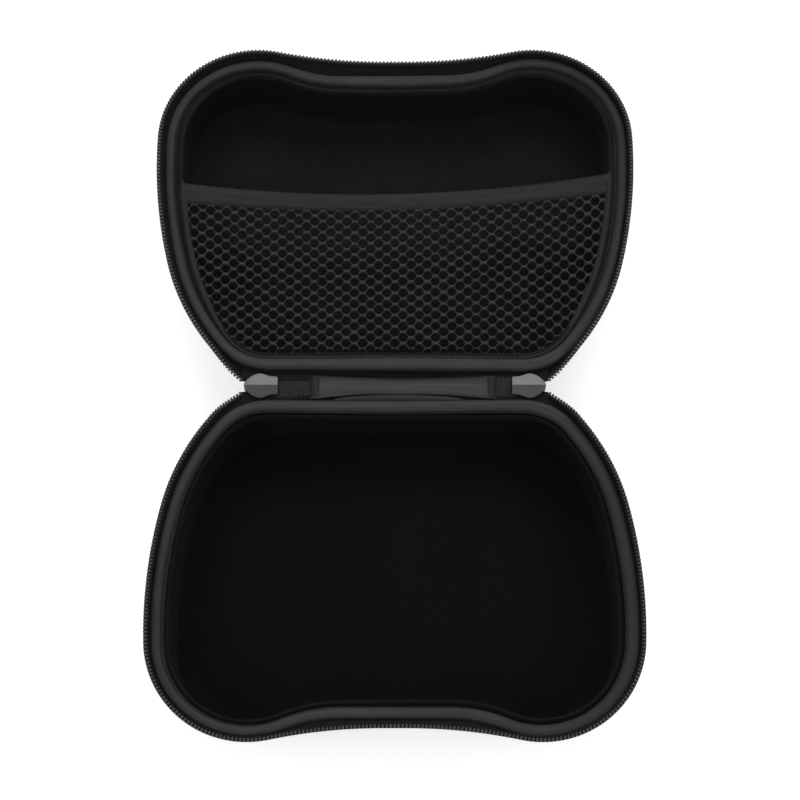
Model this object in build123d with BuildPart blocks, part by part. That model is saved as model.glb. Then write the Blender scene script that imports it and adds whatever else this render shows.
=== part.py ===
from build123d import *
from math import asin, atan, cos, degrees, radians, sin
import os

# Carrying case for a game controller, lying open at 180 degrees on its two outer faces.
# Millimetres, +Z up, table at z = 0, the hinge's centre line along X at y = 0.
# The lid lies at +Y and the base at -Y. Both halves share one plan outline.

# Plan outline of a half: the outer face of the wall, measured at the top of the wall
back_y = 7.4
back_flat = 46.7
corner_r = 24.9
corner_turn = 50.8
flank_r = 79.8
flank_turn = 25.7
side_r = 181.7
side_turn = 16.0
lobe_r = 33.8
waist_flat = 20.0
waist_depth = 6.6

# Heights
wall_top = 30.2
lean = 0.115
binding_t = 0.8
rim_top = wall_top + binding_t

# Wall build-up, from the outside in
shell_t = 3.0
lining_t = 0.8
wall_t = shell_t + lining_t
outer_edge_r = 11.5
inner_edge_r = outer_edge_r - shell_t
lining_edge_r = inner_edge_r - lining_t
binding_leg = 4.5
binding_round = 0.35
groove_in = 2.6
groove_w = 1.0
groove_deep = 0.5
cut_over = 1.0

# Hinge: each half turns about a line beside the strip
hinge_y = 5.0
hinge_z = rim_top - 1.4
hinge_gap = 0.15
meet_gap = 0.15

# Zip
tape_t = 0.7
tape_leg = 4.3
coil_size = 1.5
coil_out = 3.35
coil_top = hinge_z + hinge_y - meet_gap
coil_bottom = coil_top - coil_size
zip_waist_flat = 4.0
zip_waist_depth = 5.0
chain_z = hinge_z - 1.6
ledge_t = 0.9
ledge_x = 42.2
mouth_x = 57.0
mouth_y = 2.4
flare_z = rim_top - 1.2
corner_bow = 0.7
corner_stations = (0, 0.34, 0.67, 1)

# Hinge strip and the joined ends of the zip
strip_left = -31.4
strip_right = 37.6
strip_tuck = 1.4
strip_end_half = 4.7
strip_mid_half = 2.9
strip_t = 0.7
panel_half = hinge_y - hinge_gap
joined_w = 3.2
joined_h = 1.9
stub_tape_t = 0.5
stub_half = 4.0
stub_end = 46.3
tack_w = 1.2
tack_h = 0.35
tack_in = 1.3
tack_margin = 0.8
tack_round = 0.5

# Sliders and their pulls
slider_tail = 43.5
slider_nose = 56.4
slider_tail_half = 3.4
slider_half = 4.9
slider_h = 4.4
plate_t = 1.0
lip_h = 0.7
lip_t = 0.9
slider_len = slider_nose - slider_tail
tail_round = 0.8
plate_round = 0.45
mouth_depth = 2.7
wedge_x = 51.4
wedge_len = 4.3
wedge_half = 1.3
bail_x = 50.0
bail_half = 3.7
bail_w = 2.2
bail_t = 1.0
bail_rise = 1.9
pin_r = 0.7
pin_play = 0.1
pull_len = 20.0
pull_w = 5.8
pull_t = 1.2
pull_arm = 6.0
arm_w = 1.25
pull_round = 1.6
slot_in = 4.0
slot_len = 2.8
slot_w = 1.4
right_pull_lean = 27.0

# Mesh pocket in the lid
pocket_z = wall_top - 1.1
net_t = 0.6
edging_w = 2.4
edging_t = 1.0
hem_t = 1.2
hem_reach = 100.0
hem_left_y = 84.2
hem_mid_x = -7.7
hem_mid_y = 77.2
hem_right_y = 89.0
hem_mid_w = 6.7
hem_end_w = 8.8
net_columns = 5
net_rows = 10
net_pitch_x = 15.4
net_pitch_y = 5.0
net_first_y = 19.4
net_bar = 1.5
net_half_y = net_pitch_y - net_bar / 2
net_reach = 75.0
net_back_reach = 58.0
net_back_gain = 4.0


def corner_end(out):
    """Where the corner arc ends, for a line a distance out outside the wall."""
    radius = corner_r + out
    turn = radians(corner_turn)
    return (back_flat + radius * sin(turn), back_y - out + radius * (1 - cos(turn)))


def front_run(out, flat, depth):
    """Flank, side, lobe and waist of one side, from the corner's end to the middle of the front."""
    start = corner_end(out)
    heading = (cos(radians(corner_turn)), sin(radians(corner_turn)))
    flank = JernArc(start, heading, flank_r + out, flank_turn)
    side = JernArc(flank @ 1, flank % 1, side_r + out, side_turn)
    reached = radians(corner_turn + flank_turn + side_turn)
    lobe_x = (side @ 1).X - (lobe_r + out) * sin(reached)
    ease = 2 * atan(depth / (lobe_x - flat))
    waist_r = (lobe_x - flat) / sin(ease) - lobe_r - out
    lobe_turn = 180 + degrees(ease) - degrees(reached)
    lobe = JernArc(side @ 1, side % 1, lobe_r + out, lobe_turn)
    waist = JernArc(lobe @ 1, lobe % 1, waist_r, -degrees(ease))
    Line(waist @ 1, (0, (waist @ 1).Y))
    return flank @ 0


def wall_face(out):
    """Filled plan of a half, a distance out outside the wall's outer face."""
    with BuildSketch() as plan:
        with BuildLine():
            Line((0, back_y - out), (back_flat, back_y - out))
            JernArc((back_flat, back_y - out), (1, 0), corner_r + out, corner_turn)
            front_run(out, waist_flat, waist_depth)
            mirror(about=Plane.YZ)
        make_face()
    return plan.sketch


def slab(out, low, high, edge_r=0):
    """Drafted solid of a half between two heights; out is measured at the wall's top."""
    with BuildPart() as block:
        for z in (low, high):
            with BuildSketch(Plane.XY.offset(z)):
                add(wall_face(out - lean * (wall_top - z)))
        loft(ruled=True)
        if edge_r:
            fillet(block.faces().sort_by(Axis.Z)[0].edges(), edge_r)
    return block.part


def band_face(inner, outer, flat, depth):
    """Thin band along the front run, closed off where the corner begins."""
    with BuildSketch() as plan:
        with BuildLine():
            inside = front_run(inner, flat, depth)
            outside = front_run(outer, flat, depth)
            Line(inside, outside)
            mirror(about=Plane.YZ)
        make_face()
    return plan.sketch


def wall_ring(thick, low, high):
    """The wall between two heights as a closed ring."""
    with BuildPart() as ring:
        add(slab(0, low, high))
        add(slab(-thick, low - cut_over, high + cut_over), mode=Mode.SUBTRACT)
    return ring.part


# Corner runs: the zip leaves the rim and drops to the slider's mouth

def coil_point(u):
    """Centre of the coil's underside from the slider's mouth (u = 0) to the corner's end (u = 1)."""
    end = corner_end(coil_out)
    bow = corner_bow * (1 - (2 * u - 1) ** 2)
    run = Vector(end[0] - mouth_x, end[1] - mouth_y)
    side = Vector(run.Y, -run.X).normalized()
    rise = 3 * u * u - 2 * u ** 3
    low = chain_z - coil_size / 2
    return Vector(mouth_x, mouth_y, low + (coil_bottom - low) * rise) + run * u + side * bow


def wall_point(u):
    """Point on the sewn tape's face under the same place on the corner."""
    first = asin((mouth_x - back_flat) / (corner_r + binding_t))
    turn = first + (radians(corner_turn) - first) * u
    radius = corner_r + binding_t
    low = chain_z
    rise = 3 * u * u - 2 * u ** 3
    return Vector(
        back_flat + radius * sin(turn),
        back_y - binding_t + radius * (1 - cos(turn)),
        low + (flare_z - low) * rise,
    )


def corner_tape():
    """Tape between the rim and the coil along the corner."""
    with BuildPart() as tape:
        for u in corner_stations:
            foot = wall_point(u)
            head = coil_point(u) + Vector(0, 0, coil_size * 0.5 * (1 - u))
            run = head - foot
            across = run.cross(Vector(0, 0, 1))
            section = Plane(origin=foot, x_dir=run, z_dir=across)
            with BuildSketch(section):
                with BuildLine():
                    Polyline((0, 0), (run.length, 0), (run.length, tape_t), (0, tape_t), close=True)
                make_face()
        loft()
    return tape.part


def corner_coil():
    """Coil along the corner, down to the slider's mouth."""
    with BuildPart() as coil:
        for u in corner_stations:
            ahead = coil_point(min(u + 0.01, 1)) - coil_point(max(u - 0.01, 0))
            centre = coil_point(u) + Vector(0, 0, coil_size / 2)
            heading = Vector(ahead.X, ahead.Y, 0)
            if u == 1:
                heading = Vector(cos(radians(corner_turn)), sin(radians(corner_turn)), 0)
            section = Plane(origin=centre, x_dir=Vector(0, 0, 1), z_dir=heading)
            with BuildSketch(section):
                Rectangle(coil_size, coil_size)
        loft()
    return coil.part


# One half, built at +Y and mirrored for the base

shell_outer = slab(0, 0, wall_top, outer_edge_r)
shell_inner = slab(-shell_t, shell_t, wall_top + cut_over, inner_edge_r)
lining_outer = slab(-shell_t, shell_t, wall_top, inner_edge_r)
lining_inner = slab(-wall_t, wall_t, wall_top + cut_over, lining_edge_r)
binding_low = wall_top - binding_leg
binding_outer = slab(binding_t, binding_low, rim_top)
binding_core = slab(-wall_t - binding_t, binding_low - cut_over, rim_top + cut_over)
capped_wall = wall_ring(wall_t, binding_low - cut_over, wall_top)
groove_outer = slab(-groove_in, rim_top - groove_deep, rim_top + cut_over)
groove_core = slab(-groove_in - groove_w, rim_top - groove_deep - cut_over, rim_top + 2 * cut_over)
tape_low = wall_top - tape_leg
tape_outer = slab(binding_t + tape_t, tape_low, flare_z)
tape_core = slab(binding_t, tape_low - cut_over, flare_z + cut_over)
tape_corner = corner_tape()
coil_corner = corner_coil()

with BuildPart() as lid_shell:
    add(shell_outer)
    add(shell_inner, mode=Mode.SUBTRACT)
lid_shell.part.label = "lid_shell"

with BuildPart() as lid_lining:
    add(lining_outer)
    add(lining_inner, mode=Mode.SUBTRACT)
lid_lining.part.label = "lid_lining"

with BuildPart() as binding_groove:
    add(groove_outer)
    add(groove_core, mode=Mode.SUBTRACT)

with BuildPart() as lid_binding:
    add(binding_outer)
    add(binding_core, mode=Mode.SUBTRACT)
    chamfer(lid_binding.faces().sort_by(Axis.Z)[-1].edges(), binding_round)
    add(capped_wall, mode=Mode.SUBTRACT)
    add(binding_groove.part, mode=Mode.SUBTRACT)
lid_binding.part.label = "lid_binding"

with BuildPart() as lid_zip_tape:
    add(tape_outer)
    add(tape_core, mode=Mode.SUBTRACT)
    with BuildSketch(Plane.XY.offset(flare_z)):
        add(band_face(binding_t, binding_t + tape_t, waist_flat, waist_depth))
    with BuildSketch(Plane.XY.offset(coil_bottom)):
        add(band_face(coil_out - tape_t / 2, coil_out + tape_t / 2, zip_waist_flat, zip_waist_depth))
    loft(ruled=True)
    add(tape_corner)
    add(mirror(tape_corner, about=Plane.YZ, mode=Mode.PRIVATE))
    add(coil_corner, mode=Mode.SUBTRACT)
    add(mirror(coil_corner, about=Plane.YZ, mode=Mode.PRIVATE), mode=Mode.SUBTRACT)
    add(lid_binding.part, mode=Mode.SUBTRACT)
    with BuildSketch(Plane.XY.offset(chain_z - ledge_t / 2)):
        with Locations((0, hinge_y + hinge_gap)):
            Rectangle(2 * ledge_x, back_y - hinge_y - hinge_gap - binding_t,
                      align=(Align.CENTER, Align.MIN))
    extrude(amount=ledge_t)
lid_zip_tape.part.label = "lid_zip_tape"

with BuildPart() as lid_zip_coil:
    with BuildSketch(Plane.XY.offset(coil_bottom)):
        add(band_face(coil_out - coil_size / 2, coil_out + coil_size / 2, zip_waist_flat, zip_waist_depth))
    extrude(amount=coil_size)
    add(coil_corner)
    add(mirror(coil_corner, about=Plane.YZ, mode=Mode.PRIVATE))
lid_zip_coil.part.label = "lid_zip_coil"

with BuildPart() as base_shell:
    add(mirror(lid_shell.part, about=Plane.XZ, mode=Mode.PRIVATE))
base_shell.part.label = "base_shell"

with BuildPart() as base_lining:
    add(mirror(lid_lining.part, about=Plane.XZ, mode=Mode.PRIVATE))
base_lining.part.label = "base_lining"

with BuildPart() as base_binding:
    add(mirror(lid_binding.part, about=Plane.XZ, mode=Mode.PRIVATE))
base_binding.part.label = "base_binding"

with BuildPart() as base_zip_tape:
    add(mirror(lid_zip_tape.part, about=Plane.XZ, mode=Mode.PRIVATE))
base_zip_tape.part.label = "base_zip_tape"

with BuildPart() as base_zip_coil:
    add(mirror(lid_zip_coil.part, about=Plane.XZ, mode=Mode.PRIVATE))
base_zip_coil.part.label = "base_zip_coil"


# Mesh pocket: edging and net below a wide hem, held in the rim of the lid

def pocket_area(left_y, mid_y, right_y):
    """Everything between the hinge and a line that sags across the lid."""
    with BuildSketch() as area:
        with BuildLine():
            edge = ThreePointArc((-hem_reach, left_y), (hem_mid_x, mid_y), (hem_reach, right_y))
            Polyline(edge @ 1, (hem_reach, 0), (-hem_reach, 0), edge @ 0)
        make_face()
    return area.sketch


def net_cells():
    """Centres of the net's cells, in rows that step sideways by half a pitch."""
    centres = []
    for row in range(net_rows):
        reach = min(net_reach, net_back_reach + net_back_gain * row)
        for step in range(-net_columns, net_columns + 1):
            x = net_pitch_x * (step + 0.5 * (row % 2))
            if abs(x) + net_pitch_x / 3 < reach:
                centres.append((x, net_first_y + row * net_pitch_y))
    return centres


def net_cell():
    """One six-sided opening of the net, longer across the lid."""
    half = net_pitch_x / 3 - net_bar / 2
    flat = net_pitch_x / 6
    with BuildSketch() as cell:
        with BuildLine():
            Polyline(
                (-half, 0), (-flat, net_half_y), (flat, net_half_y),
                (half, 0), (flat, -net_half_y), (-flat, -net_half_y), close=True,
            )
        make_face()
    return cell.sketch


inside = -wall_t - binding_t
rim_inside = slab(inside, pocket_z - cut_over, pocket_z + cut_over)
net_inside = slab(inside - edging_w, pocket_z - cut_over, pocket_z + cut_over)
below_hem = pocket_area(hem_left_y - hem_end_w, hem_mid_y - hem_mid_w, hem_right_y - hem_end_w)

with BuildPart() as pocket_hem:
    with BuildSketch(Plane.XY.offset(pocket_z - hem_t / 2)):
        add(pocket_area(hem_left_y, hem_mid_y, hem_right_y))
        add(below_hem, mode=Mode.SUBTRACT)
    extrude(amount=hem_t)
    add(rim_inside, mode=Mode.INTERSECT)
pocket_hem.part.label = "pocket_hem"

with BuildPart() as pocket_edging:
    with BuildSketch(Plane.XY.offset(pocket_z - edging_t / 2)):
        add(below_hem)
    extrude(amount=edging_t)
    add(rim_inside, mode=Mode.INTERSECT)
    add(net_inside, mode=Mode.SUBTRACT)
pocket_edging.part.label = "pocket_edging"

with BuildPart() as mesh_panel:
    with BuildSketch(Plane.XY.offset(pocket_z - net_t / 2)):
        add(below_hem)
    extrude(amount=net_t)
    add(net_inside, mode=Mode.INTERSECT)
    with BuildSketch(Plane.XY.offset(pocket_z - net_t / 2)):
        with Locations(*net_cells()):
            add(net_cell())
    extrude(amount=net_t, mode=Mode.SUBTRACT)
mesh_panel.part.label = "mesh_panel"


# Hinge strip between the halves and the joined ends of the zip

with BuildPart() as hinge_panel:
    with BuildSketch(Plane.XY.offset(chain_z - ledge_t / 2)):
        with BuildLine():
            Polyline(
                (strip_left - strip_tuck, -panel_half),
                (strip_right + strip_tuck, -panel_half),
                (strip_right + strip_tuck, panel_half),
                (strip_left - strip_tuck, panel_half),
                close=True,
            )
        make_face()
    extrude(amount=ledge_t)
hinge_panel.part.label = "hinge_panel"

strip_mid = (strip_left + strip_right) / 2
strip_low = chain_z + ledge_t / 2

with BuildPart() as hinge_strip:
    with BuildSketch(Plane.XY.offset(strip_low)):
        with BuildLine():
            low_edge = ThreePointArc(
                (strip_left, -strip_end_half), (strip_mid, -strip_mid_half), (strip_right, -strip_end_half)
            )
            top_edge = ThreePointArc(
                (strip_left, strip_end_half), (strip_mid, strip_mid_half), (strip_right, strip_end_half)
            )
            Line(low_edge @ 0, top_edge @ 0)
            Line(low_edge @ 1, top_edge @ 1)
        make_face()
    extrude(amount=strip_t)
hinge_strip.part.label = "hinge_strip"


def joined_chain(inner, outer):
    """Joined end of the zip: two tapes and the closed coil between them."""
    middle = (inner + outer) / 2
    length = abs(outer - inner)
    with BuildPart() as chain:
        with Locations((middle, 0, chain_z)):
            Box(length, 2 * stub_half, stub_tape_t)
            Box(length, joined_w, joined_h)
    return chain.part


def bar_tack(x):
    """Dense stitch bar that locks the strip's end."""
    with BuildPart() as tack:
        with BuildSketch(Plane.XY.offset(strip_low + strip_t)):
            with Locations((x, 0)):
                RectangleRounded(tack_w, 2 * (strip_end_half - tack_margin), tack_round)
        extrude(amount=tack_h)
    return tack.part


with BuildPart() as left_zip_end:
    add(joined_chain(strip_left - strip_tuck, -stub_end))
left_zip_end.part.label = "left_zip_end"

with BuildPart() as right_zip_end:
    add(joined_chain(strip_right + strip_tuck, stub_end))
right_zip_end.part.label = "right_zip_end"

with BuildPart() as left_bar_tack:
    add(bar_tack(strip_left + tack_in))
left_bar_tack.part.label = "left_bar_tack"

with BuildPart() as right_bar_tack:
    add(bar_tack(strip_right - tack_in))
right_bar_tack.part.label = "right_bar_tack"


# Zip sliders: two plates on a wedge, lips at the sides, a bail below for the pull

def slider_plan():
    """Shield-shaped plan, wide at the mouth and narrow at the tail."""
    with BuildSketch() as plan:
        with BuildLine():
            tail = Line((slider_tail, 0), (slider_tail, slider_tail_half - tail_round))
            turn = JernArc(tail @ 1, (0, 1), tail_round, -90)
            neck = Line(turn @ 1, (slider_tail + 0.23 * slider_len, slider_tail_half))
            middle = (slider_tail + 0.43 * slider_len, (slider_tail_half + slider_half) / 2)
            shoulder = (slider_tail + 0.64 * slider_len, slider_half)
            flare = Spline(neck @ 1, middle, shoulder, tangents=((1, 0), (1, 0)))
            cheek = (slider_tail + 0.86 * slider_len, 0.82 * slider_half)
            tip = (slider_tail + 0.96 * slider_len, 0.41 * slider_half)
            Spline(flare @ 1, cheek, tip, (slider_nose, 0), tangents=((1, 0), (0, -1)))
            mirror(about=Plane.XZ)
        make_face()
    return plan.sketch


def slider_body():
    """Slider of the right end, mouth outward."""
    low = chain_z - slider_h / 2
    inner_h = slider_h - 2 * plate_t
    with BuildPart() as body:
        with BuildSketch(Plane.XY.offset(low)):
            add(slider_plan())
        extrude(amount=slider_h)
        chamfer(body.faces().sort_by(Axis.Z)[-1].edges(), plate_round)
        with BuildSketch(Plane.XY.offset(low + plate_t)):
            with Locations((slider_tail, 0)):
                Rectangle(3 * slider_len, 2 * (slider_tail_half - lip_t))
            with Locations((slider_nose, 0)):
                Rectangle(2 * mouth_depth, 3 * slider_half)
        extrude(amount=inner_h, mode=Mode.SUBTRACT)
        with BuildSketch(Plane.XY.offset(low + plate_t + lip_h)):
            with Locations((slider_nose, 0)):
                Rectangle(3 * slider_len, 3 * slider_half)
        extrude(amount=inner_h - 2 * lip_h, mode=Mode.SUBTRACT)
        with BuildSketch(Plane.XY.offset(low + plate_t)):
            with BuildLine():
                Polyline(
                    (wedge_x, 0), (wedge_x + 0.4 * wedge_len, wedge_half), (wedge_x + wedge_len, 0),
                    (wedge_x + 0.4 * wedge_len, -wedge_half), close=True,
                )
            make_face()
        extrude(amount=inner_h)
        with BuildSketch(Plane.XZ.offset(-bail_w / 2)):
            with Locations((bail_x, low)):
                Rectangle(2 * bail_half, bail_rise + bail_t, align=(Align.CENTER, Align.MAX))
                Rectangle(2 * bail_half - 2 * bail_t, bail_rise, align=(Align.CENTER, Align.MAX),
                          mode=Mode.SUBTRACT)
        extrude(amount=bail_w)
    return body.part


def pull_body(lean_turn):
    """Pull on a cross pin under the bail, hanging and leaning outward by lean_turn degrees."""
    pin_z = chain_z - slider_h / 2 - bail_rise / 2
    arm_y = (pull_w - arm_w) / 2
    with BuildPart() as pull:
        with BuildSketch(Plane.YZ) as tab:
            with Locations((0, -pull_arm)):
                Rectangle(pull_w, pull_len - pull_arm, align=(Align.CENTER, Align.MAX))
            fillet(tab.vertices().group_by(Axis.Y)[0], pull_round)
            with Locations((0, slot_in - pull_len)):
                SlotOverall(slot_len, slot_w, mode=Mode.SUBTRACT)
            with Locations((-arm_y, pin_r), (arm_y, pin_r)):
                Rectangle(arm_w, pull_arm + 2 * pin_r, align=(Align.CENTER, Align.MAX))
        extrude(amount=pull_t / 2, both=True)
        with BuildSketch(Plane.XZ.offset(-arm_y)):
            Circle(pin_r - pin_play)
        extrude(amount=2 * arm_y)
    turned = pull.part.rotate(Axis.Y, -lean_turn)
    return turned.moved(Location((bail_x, 0, pin_z)))


slider_part = slider_body()
hanging_pull = pull_body(0)
leaning_pull = pull_body(right_pull_lean)

with BuildPart() as right_slider:
    add(slider_part)
right_slider.part.label = "right_slider"

with BuildPart() as left_slider:
    add(mirror(slider_part, about=Plane.YZ, mode=Mode.PRIVATE))
left_slider.part.label = "left_slider"

with BuildPart() as right_pull:
    add(leaning_pull)
right_pull.part.label = "right_pull"

with BuildPart() as left_pull:
    add(mirror(hanging_pull, about=Plane.YZ, mode=Mode.PRIVATE))
left_pull.part.label = "left_pull"


os.makedirs("parts", exist_ok=True)
export_step(base_shell.part, "parts/base_shell.step")
export_step(base_lining.part, "parts/base_lining.step")
export_step(base_binding.part, "parts/base_binding.step")
export_step(base_zip_tape.part, "parts/base_zip_tape.step")
export_step(base_zip_coil.part, "parts/base_zip_coil.step")
export_step(lid_shell.part, "parts/lid_shell.step")
export_step(lid_lining.part, "parts/lid_lining.step")
export_step(lid_binding.part, "parts/lid_binding.step")
export_step(lid_zip_tape.part, "parts/lid_zip_tape.step")
export_step(lid_zip_coil.part, "parts/lid_zip_coil.step")
export_step(pocket_hem.part, "parts/pocket_hem.step")
export_step(pocket_edging.part, "parts/pocket_edging.step")
export_step(mesh_panel.part, "parts/mesh_panel.step")
export_step(hinge_panel.part, "parts/hinge_panel.step")
export_step(hinge_strip.part, "parts/hinge_strip.step")
export_step(left_zip_end.part, "parts/left_zip_end.step")
export_step(right_zip_end.part, "parts/right_zip_end.step")
export_step(left_bar_tack.part, "parts/left_bar_tack.step")
export_step(right_bar_tack.part, "parts/right_bar_tack.step")
export_step(left_slider.part, "parts/left_slider.step")
export_step(right_slider.part, "parts/right_slider.step")
export_step(left_pull.part, "parts/left_pull.step")
export_step(right_pull.part, "parts/right_pull.step")
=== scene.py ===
from math import asin, atan, cos, pi, radians, sin, tan

import bmesh
import bpy
import numpy as np
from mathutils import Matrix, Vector


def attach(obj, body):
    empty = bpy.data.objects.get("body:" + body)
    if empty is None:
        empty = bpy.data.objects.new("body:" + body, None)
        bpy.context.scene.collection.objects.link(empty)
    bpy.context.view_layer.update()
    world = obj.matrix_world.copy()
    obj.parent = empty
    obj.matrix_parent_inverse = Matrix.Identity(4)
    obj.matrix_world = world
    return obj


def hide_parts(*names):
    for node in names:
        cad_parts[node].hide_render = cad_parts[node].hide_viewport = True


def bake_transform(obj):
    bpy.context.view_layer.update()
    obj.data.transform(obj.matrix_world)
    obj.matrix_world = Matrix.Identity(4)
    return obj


# Carrying case for a game controller, open flat. Shapes are worked out in millimetres on the
# lid's side (+Y), mirrored for the base, and turned into metres when a mesh is made.

MM = 0.001
WELD = 2e-6
UP = np.array([0.0, 0.0, 1.0])
ALONG = np.array([1.0, 0.0, 0.0])
ACROSS = np.array([0.0, 1.0, 0.0])
CLOTH_MAP = "cloth"

# Plan outline, as in the CAD source
BACK_Y = 7.4
BACK_FLAT = 46.7
CORNER_R = 24.9
CORNER_TURN = radians(50.8)
FLANK_R = 79.8
FLANK_TURN = radians(25.7)
SIDE_R = 181.7
SIDE_TURN = radians(16.0)
LOBE_R = 33.8
WAIST_FLAT = 20.0
WAIST_DEPTH = 6.6
ZIP_WAIST_FLAT = 4.0
ZIP_WAIST_DEPTH = 5.0

# Heights and wall build-up, as in the CAD source
WALL_TOP = 30.2
LEAN = 0.115
SHELL_T = 3.0
WALL_T = 3.8
OUTER_EDGE_R = 11.5
INNER_EDGE_R = 8.5
LINING_EDGE_R = 7.7
BINDING_T = 0.8
COIL_OUT = 3.35
COIL_Z = 33.7
CHAIN_Z = 28.0
MOUTH = (57.0, 2.4)
FLARE_Z = 29.8

# Hinge strip and sliders, as in the CAD source
STRIP_LEFT = -31.4
STRIP_RIGHT = 37.6
STRIP_MIDDLE = (STRIP_LEFT + STRIP_RIGHT) / 2
STRIP_END_HALF = 4.7
STRIP_MID_HALF = 2.9
END_TUCK = 1.6
TACK_IN = 1.3
STUB_END = 46.3
SLIDER_TAIL = 43.5
SLIDER_NOSE = 56.4
SLIDER_HALF = 4.9
SLIDER_LOW = 25.8
SLIDER_HIGH = 30.2
PLATE_T = 1.0
BAIL_X = 50.0
RIGHT_PULL_LEAN = radians(27.0)

# Mesh pocket, as in the CAD source
POCKET_Z = 29.1
HEM_REACH = 100.0
HEM_TOP = (84.2, 77.2, 89.0)
HEM_WIDE = (8.8, 6.7, 8.8)
HEM_MID_X = -7.7

# Stations along each run of the outline
COUNTS = {"back": 32, "corner": 30, "flank": 28, "side": 40, "lobe": 64, "waist": 22, "front": 14}

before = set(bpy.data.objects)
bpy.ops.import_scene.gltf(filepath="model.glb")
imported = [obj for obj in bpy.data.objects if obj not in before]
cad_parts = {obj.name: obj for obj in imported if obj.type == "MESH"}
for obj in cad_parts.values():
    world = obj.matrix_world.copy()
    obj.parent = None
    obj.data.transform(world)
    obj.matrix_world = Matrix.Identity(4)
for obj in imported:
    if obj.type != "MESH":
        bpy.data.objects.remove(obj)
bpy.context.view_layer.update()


# Outline

def follow(point, heading, moves):
    """Points and outward normals along straight runs (length, 0, n) and arcs (radius, turn, n)."""
    points = []
    normals = []
    for size, turn, count in moves:
        along = np.linspace(0, 1, count, endpoint=False)
        angle = heading + turn * along
        if turn:
            side = 1 if turn > 0 else -1
            centre = point + side * size * np.array([-sin(heading), cos(heading)])
            points.append(centre + side * size * np.stack([np.sin(angle), -np.cos(angle)], 1))
            end = heading + turn
            point = centre + side * size * np.array([sin(end), -cos(end)])
        else:
            direction = np.array([cos(heading), sin(heading)])
            points.append(point + np.outer(along * size, direction))
            point = point + size * direction
        normals.append(np.stack([np.sin(angle), -np.cos(angle)], 1))
        heading += turn
    return np.concatenate(points), np.concatenate(normals), point, heading


def outline(flat, depth):
    """Closed outline of the wall's outer face, anticlockwise from the middle of the hinge side."""
    early = [
        (BACK_FLAT, 0, COUNTS["back"]),
        (CORNER_R, CORNER_TURN, COUNTS["corner"]),
        (FLANK_R, FLANK_TURN, COUNTS["flank"]),
        (SIDE_R, SIDE_TURN, COUNTS["side"]),
    ]
    start = np.array([0.0, BACK_Y])
    points, normals, end, reached = follow(start, 0.0, early)
    lobe_x = end[0] - LOBE_R * sin(reached)
    ease = 2 * atan(depth / (lobe_x - flat))
    waist_r = (lobe_x - flat) / sin(ease) - LOBE_R
    late = [
        (LOBE_R, pi + ease - reached, COUNTS["lobe"]),
        (waist_r, -ease, COUNTS["waist"]),
        (flat, 0, COUNTS["front"]),
    ]
    more, more_normals, middle, _ = follow(end, reached, late)
    right = np.concatenate([points, more])
    right_normals = np.concatenate([normals, more_normals])
    flip = np.array([-1.0, 1.0])
    loop = np.concatenate([right, [middle], (right[1:] * flip)[::-1]])
    loop_normals = np.concatenate([right_normals, [[0.0, 1.0]], (right_normals[1:] * flip)[::-1]])
    return loop, loop_normals


def lengths(points, closed=False):
    """Length along a line at each of its points, with the whole length last where it is closed."""
    line = np.concatenate([points, points[:1]]) if closed else points
    steps = np.linalg.norm(np.diff(line, axis=0), axis=1)
    return np.concatenate([[0.0], np.cumsum(steps)])


def ripple(count, seed, waves=(3, 5, 8, 13, 21, 34)):
    """Smooth closed variation along a loop, about -1 to 1."""
    rng = np.random.default_rng(seed)
    t = np.linspace(0, 2 * pi, count, endpoint=False)
    total = sum(rng.uniform(0.4, 1.0) * np.sin(k * t + rng.uniform(0, 2 * pi)) for k in waves)
    return total / np.abs(total).max()


def uneven(length_at, seed, sizes):
    """Smooth variation along an open line, from waves of the given lengths in mm."""
    rng = np.random.default_rng(seed)
    total = sum(np.sin(2 * pi * length_at / size + rng.uniform(0, 2 * pi)) for size in sizes)
    return total / len(sizes)


RIM, RIM_OUT = outline(WAIST_FLAT, WAIST_DEPTH)
ZIP, ZIP_OUT = outline(ZIP_WAIST_FLAT, ZIP_WAIST_DEPTH)
RIM_LENGTH = lengths(RIM, closed=True)
CORNER_AT = COUNTS["back"] + COUNTS["corner"]
CENTRE = np.array([0.0, 68.0])


def at_rim(out, z):
    """The rim's loop moved out by a distance and lifted to a height; both may vary along it."""
    flat = RIM + RIM_OUT * np.reshape(out, (-1, 1))
    return np.concatenate([flat, np.broadcast_to(np.reshape(z, (-1, 1)), (len(RIM), 1))], axis=1)


# Meshes

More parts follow.
